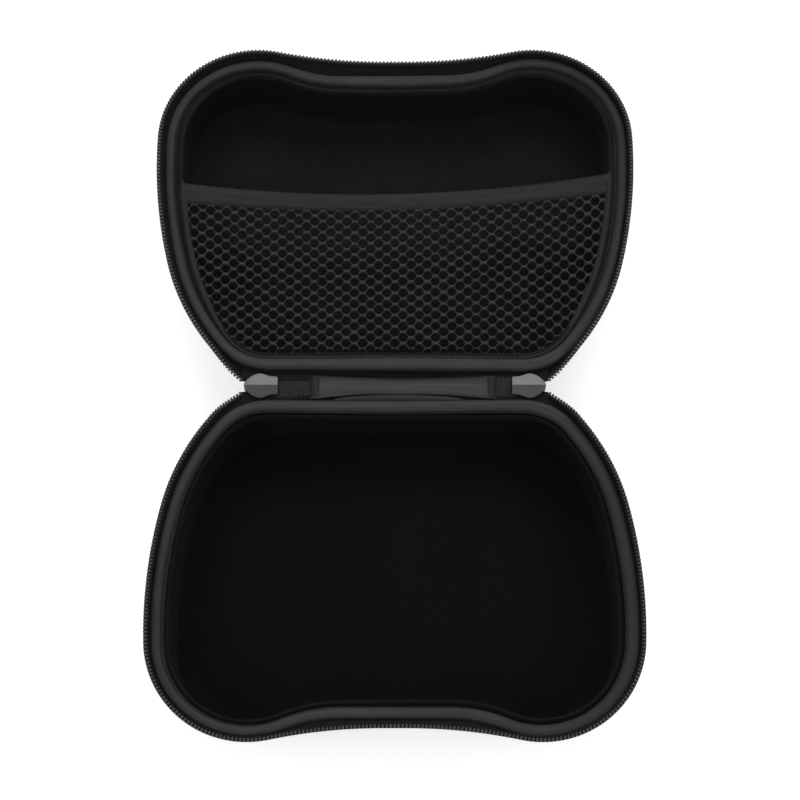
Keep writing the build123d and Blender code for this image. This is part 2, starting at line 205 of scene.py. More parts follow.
class Cloth:
    """Collects strips of quads with a flat cloth map, and makes one piece of them."""

    def __init__(self):
        self.points = []
        self.faces = []
        self.map = []
        self.count = 0

    def grid(self, points, flat, wrap_rows=False, wrap_columns=False, capped=False):
        """Quads over rows and columns of points; flat has one more of what wraps."""
        rows, columns = points.shape[:2]
        last_row = rows if wrap_rows else rows - 1
        last_column = columns if wrap_columns else columns - 1
        i, j = np.meshgrid(np.arange(last_row), np.arange(last_column), indexing="ij")
        corners = [(i, j), (i + 1, j), (i + 1, j + 1), (i, j + 1)]
        index = [(a % rows) * columns + b % columns for a, b in corners]
        faces = np.stack(index, -1).reshape(-1, 4) + self.count
        self.map.append(np.stack([flat[a, b] for a, b in corners], 2).reshape(-1, 2))
        self.faces.extend(faces.tolist())
        if capped:
            for row, order in ((0, range(columns)), (rows - 1, range(columns - 1, -1, -1))):
                self.faces.append([self.count + row * columns + k for k in order])
                self.map.append(np.array([flat[row, k] for k in order]))
        self.points.append(points.reshape(-1, 3))
        self.count += rows * columns

    def band(self, columns, width):
        """Closed band round the rim from its columns of points, with the lengths round it."""
        self.grid(np.stack(columns, axis=1), flat_map(RIM_LENGTH, width), wrap_rows=True,
                  wrap_columns=True)

    def bar(self, points, along, section):
        """Closed bar with capped ends; section is its outline, or the lengths round it."""
        width = section if np.ndim(section) == 1 else around(section)
        self.grid(points, flat_map(along, width), wrap_columns=True, capped=True)

    def slab(self, along, top, under, station):
        """Slab from an upper face down to the height under; one station gives its map's width."""
        low = top.copy()
        low[:, :, 2] = under
        section = np.concatenate([top, low[:, ::-1]], axis=1)
        self.bar(section, along, around(section[station][:, 1:]))

    def make(self, name, material, body, slot, base=False, sharp=40, weld=False, nodes=()):
        """The piece as an object on a body; base mirrors it, and it replaces the CAD nodes."""
        points = np.concatenate(self.points) * MM
        if base:
            points[:, 1] *= -1
        mesh = bpy.data.meshes.new(name)
        mesh.from_pydata(points.tolist(), [], self.faces)
        layer = mesh.uv_layers.new(name=CLOTH_MAP)
        layer.uv.foreach_set("vector", (np.concatenate(self.map) * MM).astype(np.float32).ravel())
        work = bmesh.new()
        work.from_mesh(mesh)
        if weld:
            bmesh.ops.remove_doubles(work, verts=work.verts, dist=WELD)
        bmesh.ops.recalc_face_normals(work, faces=work.faces)
        work.to_mesh(mesh)
        work.free()
        mesh.shade_smooth()
        mesh.set_sharp_from_angle(angle=radians(sharp))
        mesh.materials.append(material)
        piece = bpy.data.objects.new(name, mesh)
        bpy.context.scene.collection.objects.link(piece)
        if body:
            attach(piece, body)
        if nodes:
            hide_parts(*nodes)
        return piece


def flat_map(u, v):
    """Cloth map of a grid from the lengths along its rows and along its columns."""
    return np.stack(np.broadcast_arrays(np.asarray(u)[:, None], np.asarray(v)[None, :]), -1)


def around(section):
    """Lengths round a closed section, with the whole length last."""
    return lengths(np.asarray(section, float), closed=True)


def sweep(centres, outs, ups, section):
    """Places a closed section, points (out, up), at each station of a line."""
    section = np.asarray(section, float)
    if section.ndim == 2:
        section = section[None]
    outs = np.broadcast_to(outs, centres.shape)[:, None, :]
    ups = np.broadcast_to(ups, centres.shape)[:, None, :]
    return centres[:, None, :] + section[:, :, :1] * outs + section[:, :, 1:] * ups


def ring(radius, sides, flat=1.0):
    """Round section, flattened by a factor."""
    angle = np.linspace(0, 2 * pi, sides, endpoint=False)
    return np.stack([radius * np.cos(angle), radius * flat * np.sin(angle)], 1)


def tube(path, radius, sides=6):
    """Round tube along a path of points, as a grid of stations x sides."""
    ahead = np.gradient(path, axis=0)
    ahead /= np.linalg.norm(ahead, axis=1, keepdims=True)
    side = np.cross(ahead, UP)
    side /= np.linalg.norm(side, axis=1, keepdims=True)
    return sweep(path, side, np.cross(side, ahead), ring(radius, sides))


# Materials

COOL = 0.03
# Share of the lining's colour kept on its walls: painted shade, as the walls face away from the
# overhead light
WALL_SHADE = 0.7


def grey(level, tint=0.0):
    """Linear colour of an 8-bit grey, with a slight cool tint."""
    value = level / 255
    linear = value / 12.92 if value <= 0.04045 else ((value + 0.055) / 1.055) ** 2.4
    return (linear * (1 - tint), linear, linear * (1 + 1.5 * tint), 1.0)


class Finish:
    """A material and short names for the nodes that it uses."""

    def __init__(self, name):
        self.material = bpy.data.materials.new(name)
        self.material.use_nodes = True
        self.tree = self.material.node_tree
        self.shader = self.tree.nodes["Principled BSDF"]
        cloth = self.node("ShaderNodeUVMap")
        cloth.uv_map = CLOTH_MAP
        split = self.node("ShaderNodeSeparateXYZ")
        self.tree.links.new(cloth.outputs["UV"], split.inputs[0])
        self.along = split.outputs["X"]
        self.across = split.outputs["Y"]
        self.cloth = cloth.outputs["UV"]
        self.place = self.node("ShaderNodeTexCoord").outputs["Object"]

    def node(self, kind, **settings):
        """New node with its settings."""
        made = self.tree.nodes.new(kind)
        for key, value in settings.items():
            setattr(made, key, value)
        return made

    def feed(self, socket, source):
        """Links a socket to another, or sets its value."""
        if isinstance(source, bpy.types.NodeSocket):
            self.tree.links.new(source, socket)
        else:
            socket.default_value = source

    def math(self, operation, first, second=0.0, third=0.0):
        """Math node over sockets or numbers."""
        made = self.node("ShaderNodeMath", operation=operation)
        for socket, source in zip(made.inputs, (first, second, third)):
            self.feed(socket, source)
        return made.outputs[0]

    def noise(self, scale, detail=2.0, vector=None, stretch=None):
        """Noise from 0 to 1 with features of about 1 / scale metres; stretch scales each axis."""
        source = vector or self.place
        if stretch:
            mapping = self.node("ShaderNodeMapping")
            mapping.inputs["Scale"].default_value = stretch
            self.tree.links.new(source, mapping.inputs["Vector"])
            source = mapping.outputs[0]
        made = self.node("ShaderNodeTexNoise")
        self.tree.links.new(source, made.inputs["Vector"])
        made.inputs["Scale"].default_value = scale
        made.inputs["Detail"].default_value = detail
        return made.outputs["Fac"]

    def total(self, *parts):
        """Sum of values, each times its share."""
        made = self.math("MULTIPLY", *parts[0])
        for value, share in parts[1:]:
            made = self.math("MULTIPLY_ADD", value, share, made)
        return made

    def wave(self, length, pitch, phase=0.0):
        """Sine from 0 to 1 along a length in metres; phase may be a socket."""
        turns = self.math("MULTIPLY_ADD", length, 2 * pi / pitch, phase)
        return self.math("MULTIPLY_ADD", self.math("SINE", turns), 0.5, 0.5)

    def span(self, value, low, high, start=0.0, end=1.0):
        """Value from start to end, mapped to low to high and held there."""
        made = self.node("ShaderNodeMapRange")
        for name, source in (("Value", value), ("From Min", start), ("From Max", end),
                             ("To Min", low), ("To Max", high)):
            self.feed(made.inputs[name], source)
        return made.outputs[0]

    def mix(self, factor, first, second):
        """Colour between two others."""
        made = self.node("ShaderNodeMix", data_type="RGBA")
        self.feed(made.inputs["Factor"], factor)
        self.feed(made.inputs[6], first)
        self.feed(made.inputs[7], second)
        return made.outputs[2]

    def wash(self, colour, other, most, value, start, end):
        """Mixes in another colour, up to a share, as a value goes from start to end."""
        return self.mix(self.span(value, 0.0, most, start, end), colour, other)

    def bump(self, height, distance, strength=1.0, under=None):
        """Bump of a height, a distance in metres deep, over another bump."""
        made = self.node("ShaderNodeBump")
        made.inputs["Strength"].default_value = strength
        made.inputs["Distance"].default_value = distance
        self.tree.links.new(height, made.inputs["Height"])
        if under:
            self.tree.links.new(under, made.inputs["Normal"])
        return made.outputs[0]

    def place_along(self, axis):
        """Place in the object along one axis, in metres."""
        split = self.node("ShaderNodeSeparateXYZ")
        self.tree.links.new(self.place, split.inputs[0])
        return split.outputs[axis]

    def done(self, colour, roughness, normal, **uniform):
        """Links the shader; uniform values go straight on its sockets."""
        self.feed(self.shader.inputs["Base Color"], colour)
        self.feed(self.shader.inputs["Roughness"], roughness)
        self.tree.links.new(normal, self.shader.inputs["Normal"])
        for name, value in uniform.items():
            self.shader.inputs[name.replace("_", " ")].default_value = value
        return self.material


def shell_fabric():
    """Fine woven fabric over the moulded foam, with uneven threads."""
    f = Finish("shell_weave")
    pitch = 1.3e-3
    drift = f.math("MULTIPLY", f.noise(240, 3), 9.0)
    warp = f.math("SINE", f.math("MULTIPLY_ADD", f.along, 2 * pi / pitch, drift))
    weft = f.math("SINE", f.math("MULTIPLY_ADD", f.across, 2 * pi / pitch, drift))
    weave = f.math("MULTIPLY_ADD", f.math("MULTIPLY", warp, weft), 0.5, 0.5)
    blotch = f.noise(28, 4)
    tone = f.total((f.noise(1800, 3), 0.45), (weave, 0.55))
    colour = f.mix(tone, grey(15, COOL), grey(38, COOL))
    colour = f.wash(colour, grey(28, COOL), 0.35, blotch, 0.4, 0.7)
    normal = f.bump(tone, 0.00010, 0.6, f.bump(blotch, 0.0012, 0.35))
    return f.done(colour, f.span(f.noise(120, 3), 0.62, 0.82), normal, Sheen_Weight=0.1,
                  Sheen_Roughness=0.45, Specular_IOR_Level=0.2)


def lining_fabric(name, low, high):
    """Short-pile knitted lining, with painted shade darkening it up the moulded walls."""
    f = Finish(name)
    brushed = f.noise(34, 3, stretch=(1.0, 0.45, 1.0))
    tone = f.total((f.noise(900, 2), 0.5), (f.noise(2600, 2), 0.5))
    tone = f.span(tone, 0.0, 1.0, 0.3, 0.7)
    floor_tone = f.mix(tone, grey(low), grey(high))
    floor_tone = f.wash(floor_tone, grey(high), 0.5, brushed, 0.42, 0.66)
    # Painted shade: the lining darkens up its walls, from 4.2 to 10.5 mm high
    wall = f.span(f.place_along("Z"), 0.0, 1.0, 0.0042, 0.0105)
    shaded_wall = f.mix(tone, grey(low * WALL_SHADE), grey(high * WALL_SHADE))
    normal = f.bump(tone, 0.00010, 0.7, f.bump(brushed, 0.0010, 0.3))
    return f.done(f.mix(wall, floor_tone, shaded_wall), f.span(brushed, 0.86, 0.96), normal,
                  Sheen_Weight=0.02, Sheen_Roughness=0.5, Specular_IOR_Level=0.05)


def roll_cloth(name, low, high):
    """Lining cloth rolled over the edge, with soft streaks along it."""
    f = Finish(name)
    streaks = f.noise(800, 3, f.cloth, (0.03, 1.0, 1.0))
    tone = f.total((f.noise(1500, 2), 0.3), (streaks, 0.7))
    colour = f.mix(f.span(tone, 0.0, 1.0, 0.3, 0.75), grey(low), grey(high))
    return f.done(colour, f.span(streaks, 0.7, 0.9), f.bump(tone, 0.00022, 0.7),
                  Sheen_Weight=0.03, Specular_IOR_Level=0.1)


def binding_tape():
    """Grosgrain edge tape: fine ribs across it, soft streaks along it, and painted shade on the
    inner part of its crown.
    """
    f = Finish("binding_grosgrain")
    ribs = f.wave(f.along, 0.75e-3, f.math("MULTIPLY", f.noise(500, 2), 2.5))
    threads = f.wave(f.across, 0.62e-3, f.math("MULTIPLY", f.noise(380, 2), 3.0))
    streaks = f.noise(900, 4, f.cloth, (0.022, 1.0, 1.0))
    tone = f.total((threads, 0.22), (ribs, 0.22), (streaks, 0.75))
    colour = f.mix(f.span(tone, 0.0, 1.0, 0.3, 0.85), grey(28), grey(60))
    colour = f.wash(colour, grey(63), 0.3, f.noise(70, 4), 0.52, 0.72)
    colour = f.wash(colour, grey(36), 0.35, f.noise(9, 2), 0.4, 0.62)
    # Painted shade: the crown's inner part darkens on the case's left and right sides, more on the
    # right, and its inner edge darkens all round
    sideways = f.place_along("X")
    right = f.span(sideways, 0.0, 0.6, 0.055, 0.08)
    left = f.span(sideways, 0.0, 0.3, -0.055, -0.08)
    inward = f.span(f.across, 0.0, 1.0, 0.0006, 0.0028)
    colour = f.mix(f.math("MULTIPLY", f.math("ADD", left, right), inward), colour, grey(24))
    colour = f.wash(colour, grey(20), 0.6, f.across, 0.0029, 0.0037)
    normal = f.bump(f.math("ADD", ribs, threads), 0.00007, 0.75, f.bump(streaks, 0.00025, 0.5))
    return f.done(colour, f.span(streaks, 0.5, 0.7), normal, Sheen_Weight=0.08,
                  Sheen_Roughness=0.4, Specular_IOR_Level=0.25)


def zip_tape():
    """Dark herringbone tape of the zip."""
    f = Finish("zip_herringbone")
    fold = f.math("PINGPONG", f.across, 0.0016)
    twill = f.wave(f.math("MULTIPLY_ADD", fold, 1.1, f.along), 0.62e-3)
    blotch = f.noise(150, 3)
    tone = f.total((f.wave(f.across, 0.4e-3), 0.2), (twill, 0.6), (blotch, 0.3))
    return f.done(f.mix(tone, grey(9), grey(26)), f.span(blotch, 0.66, 0.85),
                  f.bump(tone, 0.00010, 0.8), Sheen_Weight=0.03, Sheen_Roughness=0.5,
                  Specular_IOR_Level=0.12)


def zip_nylon(name, low, high, shine=0.45, rough=(0.28, 0.45)):
    """Satin nylon of the zip's teeth."""
    f = Finish(name)
    fine = f.noise(900, 3)
    tone = f.total((f.noise(60, 2), 0.5), (fine, 0.5))
    colour = f.mix(f.span(tone, 0.0, 1.0, 0.3, 0.7), grey(low), grey(high))
    return f.done(colour, f.span(fine, *rough), f.bump(fine, 0.00003, 0.5),
                  Specular_IOR_Level=shine)


def thread(name, low, high):
    """Twisted sewing thread."""
    f = Finish(name)
    fuzz = f.noise(1500, 2)
    twist = f.wave(f.math("MULTIPLY_ADD", f.across, 1.4, f.along), 0.5e-3)
    tone = f.total((fuzz, 0.4), (twist, 0.6))
    return f.done(f.mix(tone, grey(low), grey(high)), f.span(fuzz, 0.5, 0.7),
                  f.bump(tone, 0.00006, 0.7), Sheen_Weight=0.05, Specular_IOR_Level=0.2)


def net_yarn():
    """Knitted net yarn, with a painted highlight along the strands' crests and where the knots tie
    them, and painted shade down the strands' sides.
    """
    f = Finish("net_yarn")
    knit = f.noise(1700, 3)
    # Painted highlight along each strand's crest, fading to painted shade down its sides
    crest_highlight = f.span(f.across, 1.0, 0.0, 0.0, 0.0007)
    knot = f.math("MULTIPLY", f.along, 1000.0)
    tone = f.total((f.noise(55, 3), 0.2), (knit, 0.3), (f.math("POWER", crest_highlight, 2.6), 0.6))
    colour = f.mix(f.span(tone, 0.0, 1.0, 0.25, 0.9), grey(13), grey(47))
    # Painted highlight where the knots tie the strands
    knot_highlight = f.math("MULTIPLY", f.math("MULTIPLY", knot, crest_highlight), 0.75)
    return f.done(f.mix(knot_highlight, colour, grey(62)), f.span(knit, 0.6, 0.8),
                  f.bump(knit, 0.00012, 0.7), Sheen_Weight=0.03, Specular_IOR_Level=0.15)


def soft_band(name, low, high, ribbed, is_strip=False):
    """Smooth woven band with soft streaks; the strip has painted shade along its lid side, and
    darkens towards its ends.
    """
    f = Finish(name)
    length, pitch = (f.along, 0.6e-3) if ribbed else (f.across, 1.15e-3)
    lines = f.wave(length, pitch, f.math("MULTIPLY", f.noise(220, 2), 2.5))
    streaks = f.noise(560, 4, f.cloth, (0.03, 1.0, 1.0))
    grain = f.noise(1900, 2)
    tone = f.total((lines, 0.05), (streaks, 0.85), (grain, 0.12))
    colour = f.mix(f.span(tone, 0.0, 1.0, 0.32, 0.72), grey(low), grey(high))
    if is_strip:
        # Painted shade along the strip's lid side
        colour = f.wash(colour, grey(low * 0.45), 0.95, f.across, 5.0 * MM, 2 * STRIP_END_HALF * MM)
        away = f.math("ABSOLUTE", f.math("SUBTRACT", f.along, STRIP_MIDDLE * MM))
        reach = STRIP_RIGHT - STRIP_MIDDLE
        colour = f.wash(colour, grey(low * 0.6), 0.45, away, (reach - 3.2) * MM, (reach - 2.4) * MM)
    normal = f.bump(f.math("ADD", lines, grain), 0.00004, 0.5, f.bump(streaks, 0.0003, 0.5))
    return f.done(colour, f.span(streaks, 0.52, 0.72), normal, Sheen_Weight=0.06,
                  Specular_IOR_Level=0.22)


def slider_metal():
    """Satin grey coat over die-cast metal."""
    f = Finish("slider_coat")
    grain = f.noise(1500, 3)
    tone = f.total((grain, 0.3), (f.noise(120, 3), 0.7))
    return f.done(f.mix(tone, grey(70), grey(90)), f.span(tone, 0.3, 0.42),
                  f.bump(grain, 0.00003, 0.4), Metallic=0.7, Coat_Weight=0.05,
                  Coat_Roughness=0.3)


SHELL = shell_fabric()
LID_LINING = lining_fabric("lid_lining_pile", 18, 31)
# The base's lining is a darker copy of the lid's: painted shade over the whole base
SHADED_BASE_LINING = lining_fabric("shaded_base_lining_pile", 9, 17)
ROLL = roll_cloth("roll_cloth", 11, 32)
# The base's roll is a darker copy of the lid's: painted shade
SHADED_ROLL = roll_cloth("shaded_roll_cloth", 7, 20)
BINDING = binding_tape()
TAPE = zip_tape()
NYLON = zip_nylon("zip_nylon", 48, 84)
# The base's teeth are a darker copy of the same nylon: painted shade
SHADED_BASE_NYLON = zip_nylon("shaded_base_zip_nylon", 36, 68)
CLOSED_NYLON = zip_nylon("closed_nylon", 22, 36, shine=0.2, rough=(0.5, 0.65))
DARK_THREAD = thread("dark_thread", 12, 30)
# Sewing thread and core of the coil: real thread, coloured darker than the tape as painted shade in
# the holes between the teeth
COIL_THREAD_AND_SHADE = thread("coil_thread_and_shade", 3, 11)
HIDDEN_THREAD = thread("rim_thread", 9, 20)
BAR_THREAD = thread("bar_thread", 34, 52)
NET = net_yarn()
HEM = soft_band("hem_stretch_band", 14, 36, False)
EDGING = soft_band("edging_band", 16, 34, False)
RIBBON = soft_band("strip_ribbon", 42, 70, True, is_strip=True)
FLAP = soft_band("hinge_flap_cloth", 26, 44, True)
COAT = slider_metal()


# The moulded walls

COVERED_TOP = 29.3
FLOOR_SHARES = (0.0, 0.2, 0.4, 0.6, 0.78, 0.9, 0.97)
FLOOR_RISE = 0.25
# How far the shell reaches into the lining's cloth, and the cloth out over the shell
CORE_IN = 0.2
CLOTH_OUT = 0.15
CLOTH_LIFT = 0.1


def wall_profile(out, floor, edge_r):
    """Profile (out, z) from the flat floor round its edge and up the leaning wall."""
    tilt = atan(LEAN)
    foot = out - LEAN * (WALL_TOP - floor)
    centre = np.array([foot - edge_r * tan(pi / 4 - tilt / 2), floor + edge_r])
    angle = np.linspace(-pi / 2, -tilt, 11)
    bend = centre + edge_r * np.stack([np.cos(angle), np.sin(angle)], 1)
    z = np.linspace(bend[-1, 1], COVERED_TOP, 8)[1:]
    wall = np.stack([out - LEAN * (WALL_TOP - z), z], 1)
    return np.concatenate([bend, wall])


def bowl_side(profile, rise):
    """Points of one face of a bowl, loop x profile, from the middle of the floor to the top."""
    edge = RIM + RIM_OUT * profile[0, 0]
    rings = []
    for share in FLOOR_SHARES:
        z = profile[0, 1] + rise * (1 - share * share)
        rings.append(np.column_stack([CENTRE + (edge - CENTRE) * share, np.full(len(edge), z)]))
    rings += [at_rim(out, z) for out, z in profile]
    return np.stack(rings, axis=1)


def bowl_map(points, profile):
    """Flat cut of a bowl's face: the plan on the floor, and the profile's length past its edge."""
    rows = len(FLOOR_SHARES)
    cut = points[:, :, :2].copy()
    past = lengths(profile)
    cut[:, rows:] = points[:, rows:rows + 1, :2] + RIM_OUT[:, None, :] * past[None, :, None]
    return np.concatenate([cut, cut[:1]])


def bowl(outside, inside, rise=0.0):
    """Closed bowl between two profiles; rise lifts the middle of its inner face."""
    outer = bowl_side(outside, 0.0)
    inner = bowl_side(inside, rise)
    points = np.concatenate([outer, inner[:, ::-1]], axis=1)
    cut = np.concatenate([bowl_map(outer, outside), bowl_map(inner, inside)[:, ::-1]], axis=1)
    piece = Cloth()
    piece.grid(points, cut, wrap_rows=True)
    return piece


def shells(body, base):
    """Outer shell and inner lining of a half."""
    outside = wall_profile(0.0, 0.0, OUTER_EDGE_R)
    core = wall_profile(-SHELL_T + CORE_IN, SHELL_T, INNER_EDGE_R)
    bowl(outside, core).make(body + "_outer_shell", SHELL, body, "shell_fabric", base,
                             sharp=50, weld=True, nodes=[body + "_shell"])
    under = wall_profile(-SHELL_T - CLOTH_OUT, SHELL_T + CLOTH_LIFT, INNER_EDGE_R)
    inside = wall_profile(-WALL_T, WALL_T, LINING_EDGE_R)
    # The base takes the lining with painted shade
    cloth = SHADED_BASE_LINING if base else LID_LINING
    bowl(under, inside, FLOOR_RISE).make(body + "_inner_lining", cloth, body, "lining_fabric",
                                         base, sharp=50, weld=True, nodes=[body + "_lining"])


# Rim binding and the roll of cloth inside it

BINDING_LEG = [(0.80, 25.8), (0.84, 27.4), (0.88, 28.8), (0.87, 29.6)]
BINDING_CROWN = [
    (0.0, 30.1), (0.05, 30.6), (0.14, 30.98), (0.3, 31.2), (0.5, 31.24), (0.68, 31.14),
    (0.82, 30.86), (0.92, 30.42), (0.98, 29.9), (1.0, 29.2), (0.97, 28.7),
]
BINDING_UNDER = [(0.05, 28.7), (0.03, 25.7)]
CROWN_FROM = 29.9
CROWN_PUFF = 0.22
CROWN_SHIFT = 0.16
CROWN_MAP = 3.8
# Roll of cloth: share of its width inward from the binding's inner edge, and height
ROLL_SKIN = [
    (-0.4, 29.9), (-0.05, 29.45), (0.18, 29.2), (0.34, 29.36), (0.48, 29.74), (0.64, 29.95),
    (0.8, 29.8), (0.94, 29.35), (1.0, 28.7), (0.96, 27.9), (0.8, 27.0),
]
ROLL_BACK = [(-4.2, 26.2), (-3.4, 28.4)]
ROLL_SWELL = 0.14
ROLL_MAP = 2.8
# Sizes across the rim in mm, by direction from the middle of the half in degrees (90 is the
# far end): the binding's outer edge, the width of its crown, and the width of the roll in it
TURNS = (-180, -150, -90, -30, 0, 50, 90, 130, 180)
RIM_SIZES = {
    "lid": (
        (0.9, 1.0, 1.5, 1.9, 2.1, 1.9, 1.3, 1.0, 0.9),
        (3.5, 3.8, 5.2, 4.4, 3.8, 3.8, 4.9, 3.8, 3.5),
        (3.0, 2.6, 2.0, 2.6, 3.2, 3.0, 2.6, 2.8, 3.0),
    ),
    "base": (
        (1.8, 1.5, 1.0, 1.8, 2.3, 2.1, 1.8, 1.8, 1.8),
        (3.9, 4.2, 4.8, 5.0, 5.6, 5.0, 4.5, 4.2, 3.9),
        (2.4, 2.0, 1.6, 1.8, 2.2, 2.6, 3.2, 2.6, 2.4),
    ),
}
ROLL_LOWER = {"lid": 0.0, "base": 0.5}
SMOOTHED = 15


def lean_out(out, z):
    """Distance out of the leaning wall at a height below its top."""
    return out - LEAN * np.maximum(WALL_TOP - z, 0)


def by_turn(values):
    """A size given by direction, smoothed along the stations of the rim."""
    turn = np.degrees(np.arctan2(RIM[:, 1] - CENTRE[1], RIM[:, 0]))
    sizes = np.interp(turn, TURNS, values)
    kernel = np.hanning(2 * SMOOTHED + 1)
    padded = np.concatenate([sizes[-SMOOTHED:], sizes, sizes[:SMOOTHED]])
    return np.convolve(padded, kernel / kernel.sum(), "valid")


def rim_sizes(body):
    """Outer edge, crown and roll of a half's rim at each station."""
    return [by_turn(values) for values in RIM_SIZES[body]]


def rim_binding(body, base):
    """Tape folded over the rim as a crowned band, uneven by a fraction of a millimetre."""
    swell = ripple(len(RIM), 11 + base, (4, 7, 11, 17, 29, 43))
    shift = ripple(len(RIM), 23 + base, (3, 5, 9, 14))
    outer, crown, _ = rim_sizes(body)
    columns = []
    across = []
    for out, z in BINDING_LEG:
        columns.append(at_rim(lean_out(out, z), z))
        across.append(z - WALL_TOP)
    for share, z in BINDING_CROWN:
        puff = CROWN_PUFF * swell * sin(pi * share) if z > CROWN_FROM else 0.0
        columns.append(at_rim(outer - share * (crown + CROWN_SHIFT * shift), z + puff))
        across.append(share * CROWN_MAP)
    for out, z in BINDING_UNDER:
        columns.append(at_rim(lean_out(out, z), z))
        across.append(CROWN_MAP + 1.0)
    across.append(CROWN_MAP + 2.0)
    piece = Cloth()
    piece.band(columns, np.array(across))
    piece.make(body + "_rim_binding", BINDING, body, "binding_tape", base, sharp=60,
               nodes=[body + "_binding"])


def rim_roll(body, base):
    """Darker roll of lining cloth inside the binding, with the sewn groove between them."""
    swell = ripple(len(RIM), 37 + base, (5, 8, 13, 21, 31))
    outer, crown, roll = rim_sizes(body)
    columns = []
    for share, z in ROLL_SKIN:
        lift = ROLL_SWELL * swell * (share > 0.3) - ROLL_LOWER[body]
        columns.append(at_rim(outer - crown - share * roll, z + lift))
    for out, z in ROLL_BACK:
        columns.append(at_rim(np.full(len(RIM), out), z - ROLL_LOWER[body]))
    reach = np.array(ROLL_SKIN) * np.array([ROLL_MAP, 1.0])
    back = reach[-1] + np.array([[-1.0, -1.0], [-1.5, 0.0]])
    piece = Cloth()
    piece.band(columns, around(np.concatenate([reach, back])))
    # The base takes the roll cloth with painted shade
    cloth = SHADED_ROLL if base else ROLL
    piece.make(body + "_rim_roll", cloth, body, "lining_fabric", base, sharp=60)


def evenly(points, pitch, closed=False):
    """Points and directions at even steps along a line of points."""
    line = np.concatenate([points, points[:1]]) if closed else points
    at = lengths(line)
    count = int(round(at[-1] / pitch))
    where = (np.arange(count) + 0.5) * at[-1] / count
    spots, ahead, behind = (along_line(where + step, at, line) for step in (0.0, 0.3, -0.3))
    heading = ahead - behind
    return spots, heading / np.linalg.norm(heading, axis=1, keepdims=True)


def along_line(where, at, line):
    """Points of a line at given lengths along it."""
    return np.stack([np.interp(where, at, line[:, k]) for k in range(line.shape[1])], 1)


GROOVE_SHARE = 0.16
GROOVE_Z = 29.22
STITCH_LONG = 2.5
STITCH_PITCH = 3.1
STITCH_R = 0.15
STITCH_LIFT = 0.16


def rim_stitches(body, base):
    """Row of sunk stitches in the groove between the binding and the roll."""
    outer, crown, roll = rim_sizes(body)
    groove = at_rim(outer - crown - GROOVE_SHARE * roll, GROOVE_Z - ROLL_LOWER[body])
    steps = np.linspace(-0.5, 0.5, 6)
    along = steps * STITCH_LONG
    rise = np.outer(STITCH_LIFT * (1 - (2 * steps) ** 4), UP)
    section = ring(STITCH_R, 5, 0.8)
    piece = Cloth()
    for spot, ahead in zip(*evenly(groove, STITCH_PITCH, closed=True)):
        path = spot + np.outer(along, ahead) + rise
        side = np.cross(ahead, UP)
        piece.bar(sweep(path, side / np.linalg.norm(side), UP, section), along, section)
    piece.make(body + "_rim_stitches", HIDDEN_THREAD, body, "binding_tape", base, sharp=70)


# Zip: tape, coil and its sewing

CORNER_BOW = 0.7
CORNER_STEPS = 26


def corner_end(out):
    """Where the corner arc ends, at a distance out of the wall."""
    radius = CORNER_R + out
    return np.array([
        BACK_FLAT + radius * sin(CORNER_TURN),
        BACK_Y - out + radius * (1 - cos(CORNER_TURN)),
    ])


def eased(u):
    """Smooth step from 0 to 1."""
    return 3 * u * u - 2 * u ** 3


def coil_corner(u):
    """Middle of the coil between the slider's mouth (u = 0) and the corner's end (u = 1)."""
    start = np.array(MOUTH)
    run = corner_end(COIL_OUT) - start
    side = np.array([run[1], -run[0]]) / np.linalg.norm(run)
    bow = CORNER_BOW * (1 - (2 * u - 1) ** 2)
    plan = start + np.outer(u, run) + np.outer(bow, side)
    z = CHAIN_Z + (COIL_Z - CHAIN_Z) * eased(u)
    return np.column_stack([plan, z])


def foot_corner(u):
    """Where the corner's tape is sewn to the wall."""
    radius = CORNER_R + BINDING_T
    first = asin((MOUTH[0] - BACK_FLAT) / radius)
    turn = first + (CORNER_TURN - first) * u
    return np.column_stack([
        BACK_FLAT + radius * np.sin(turn),
        BACK_Y - BINDING_T + radius * (1 - np.cos(turn)),
        CHAIN_Z + (FLARE_Z - CHAIN_Z) * eased(u),
    ])


def zip_lines(body):
    """Sewn line and coil line of a half, from the right slider's mouth round to the left one."""
    u = np.linspace(0, 1, CORNER_STEPS, endpoint=False)
    run = slice(CORNER_AT, len(RIM) - CORNER_AT + 1)
    outer = rim_sizes(body)[0][run]
    sewn = RIM[run] + RIM_OUT[run] * outer[:, None]
    front_foot = np.column_stack([sewn, np.full(len(outer), FLARE_Z)])
    front_coil = np.column_stack([ZIP[run] + ZIP_OUT[run] * COIL_OUT, np.full(len(outer), COIL_Z)])
    flip = np.array([-1.0, 1.0, 1.0])
    push = np.outer(eased(u), RIM_OUT[CORNER_AT])
    right_foot = foot_corner(u)
    left_foot = foot_corner(u)
    right_foot[:, :2] += push * (outer[0] - BINDING_T)
    left_foot[:, :2] += push * (outer[-1] - BINDING_T)
    feet = np.concatenate([right_foot, front_foot, (left_foot * flip)[::-1]])
    coil = np.concatenate([coil_corner(u), front_coil, (coil_corner(u) * flip)[::-1]])
    return feet, coil


def plan_outward(line):
    """Level direction out of a line, to the right of its heading."""
    ahead = np.gradient(line[:, :2], axis=0)
    out = np.column_stack([ahead[:, 1], -ahead[:, 0], np.zeros(len(line))])
    return out / np.linalg.norm(out, axis=1, keepdims=True)


TAPE_CURVE = np.array([0.0, 0.12, 0.3, 0.5, 0.7, 0.86, 1.0])
FLARE_T = 0.5
FLARE_SAG = 0.168


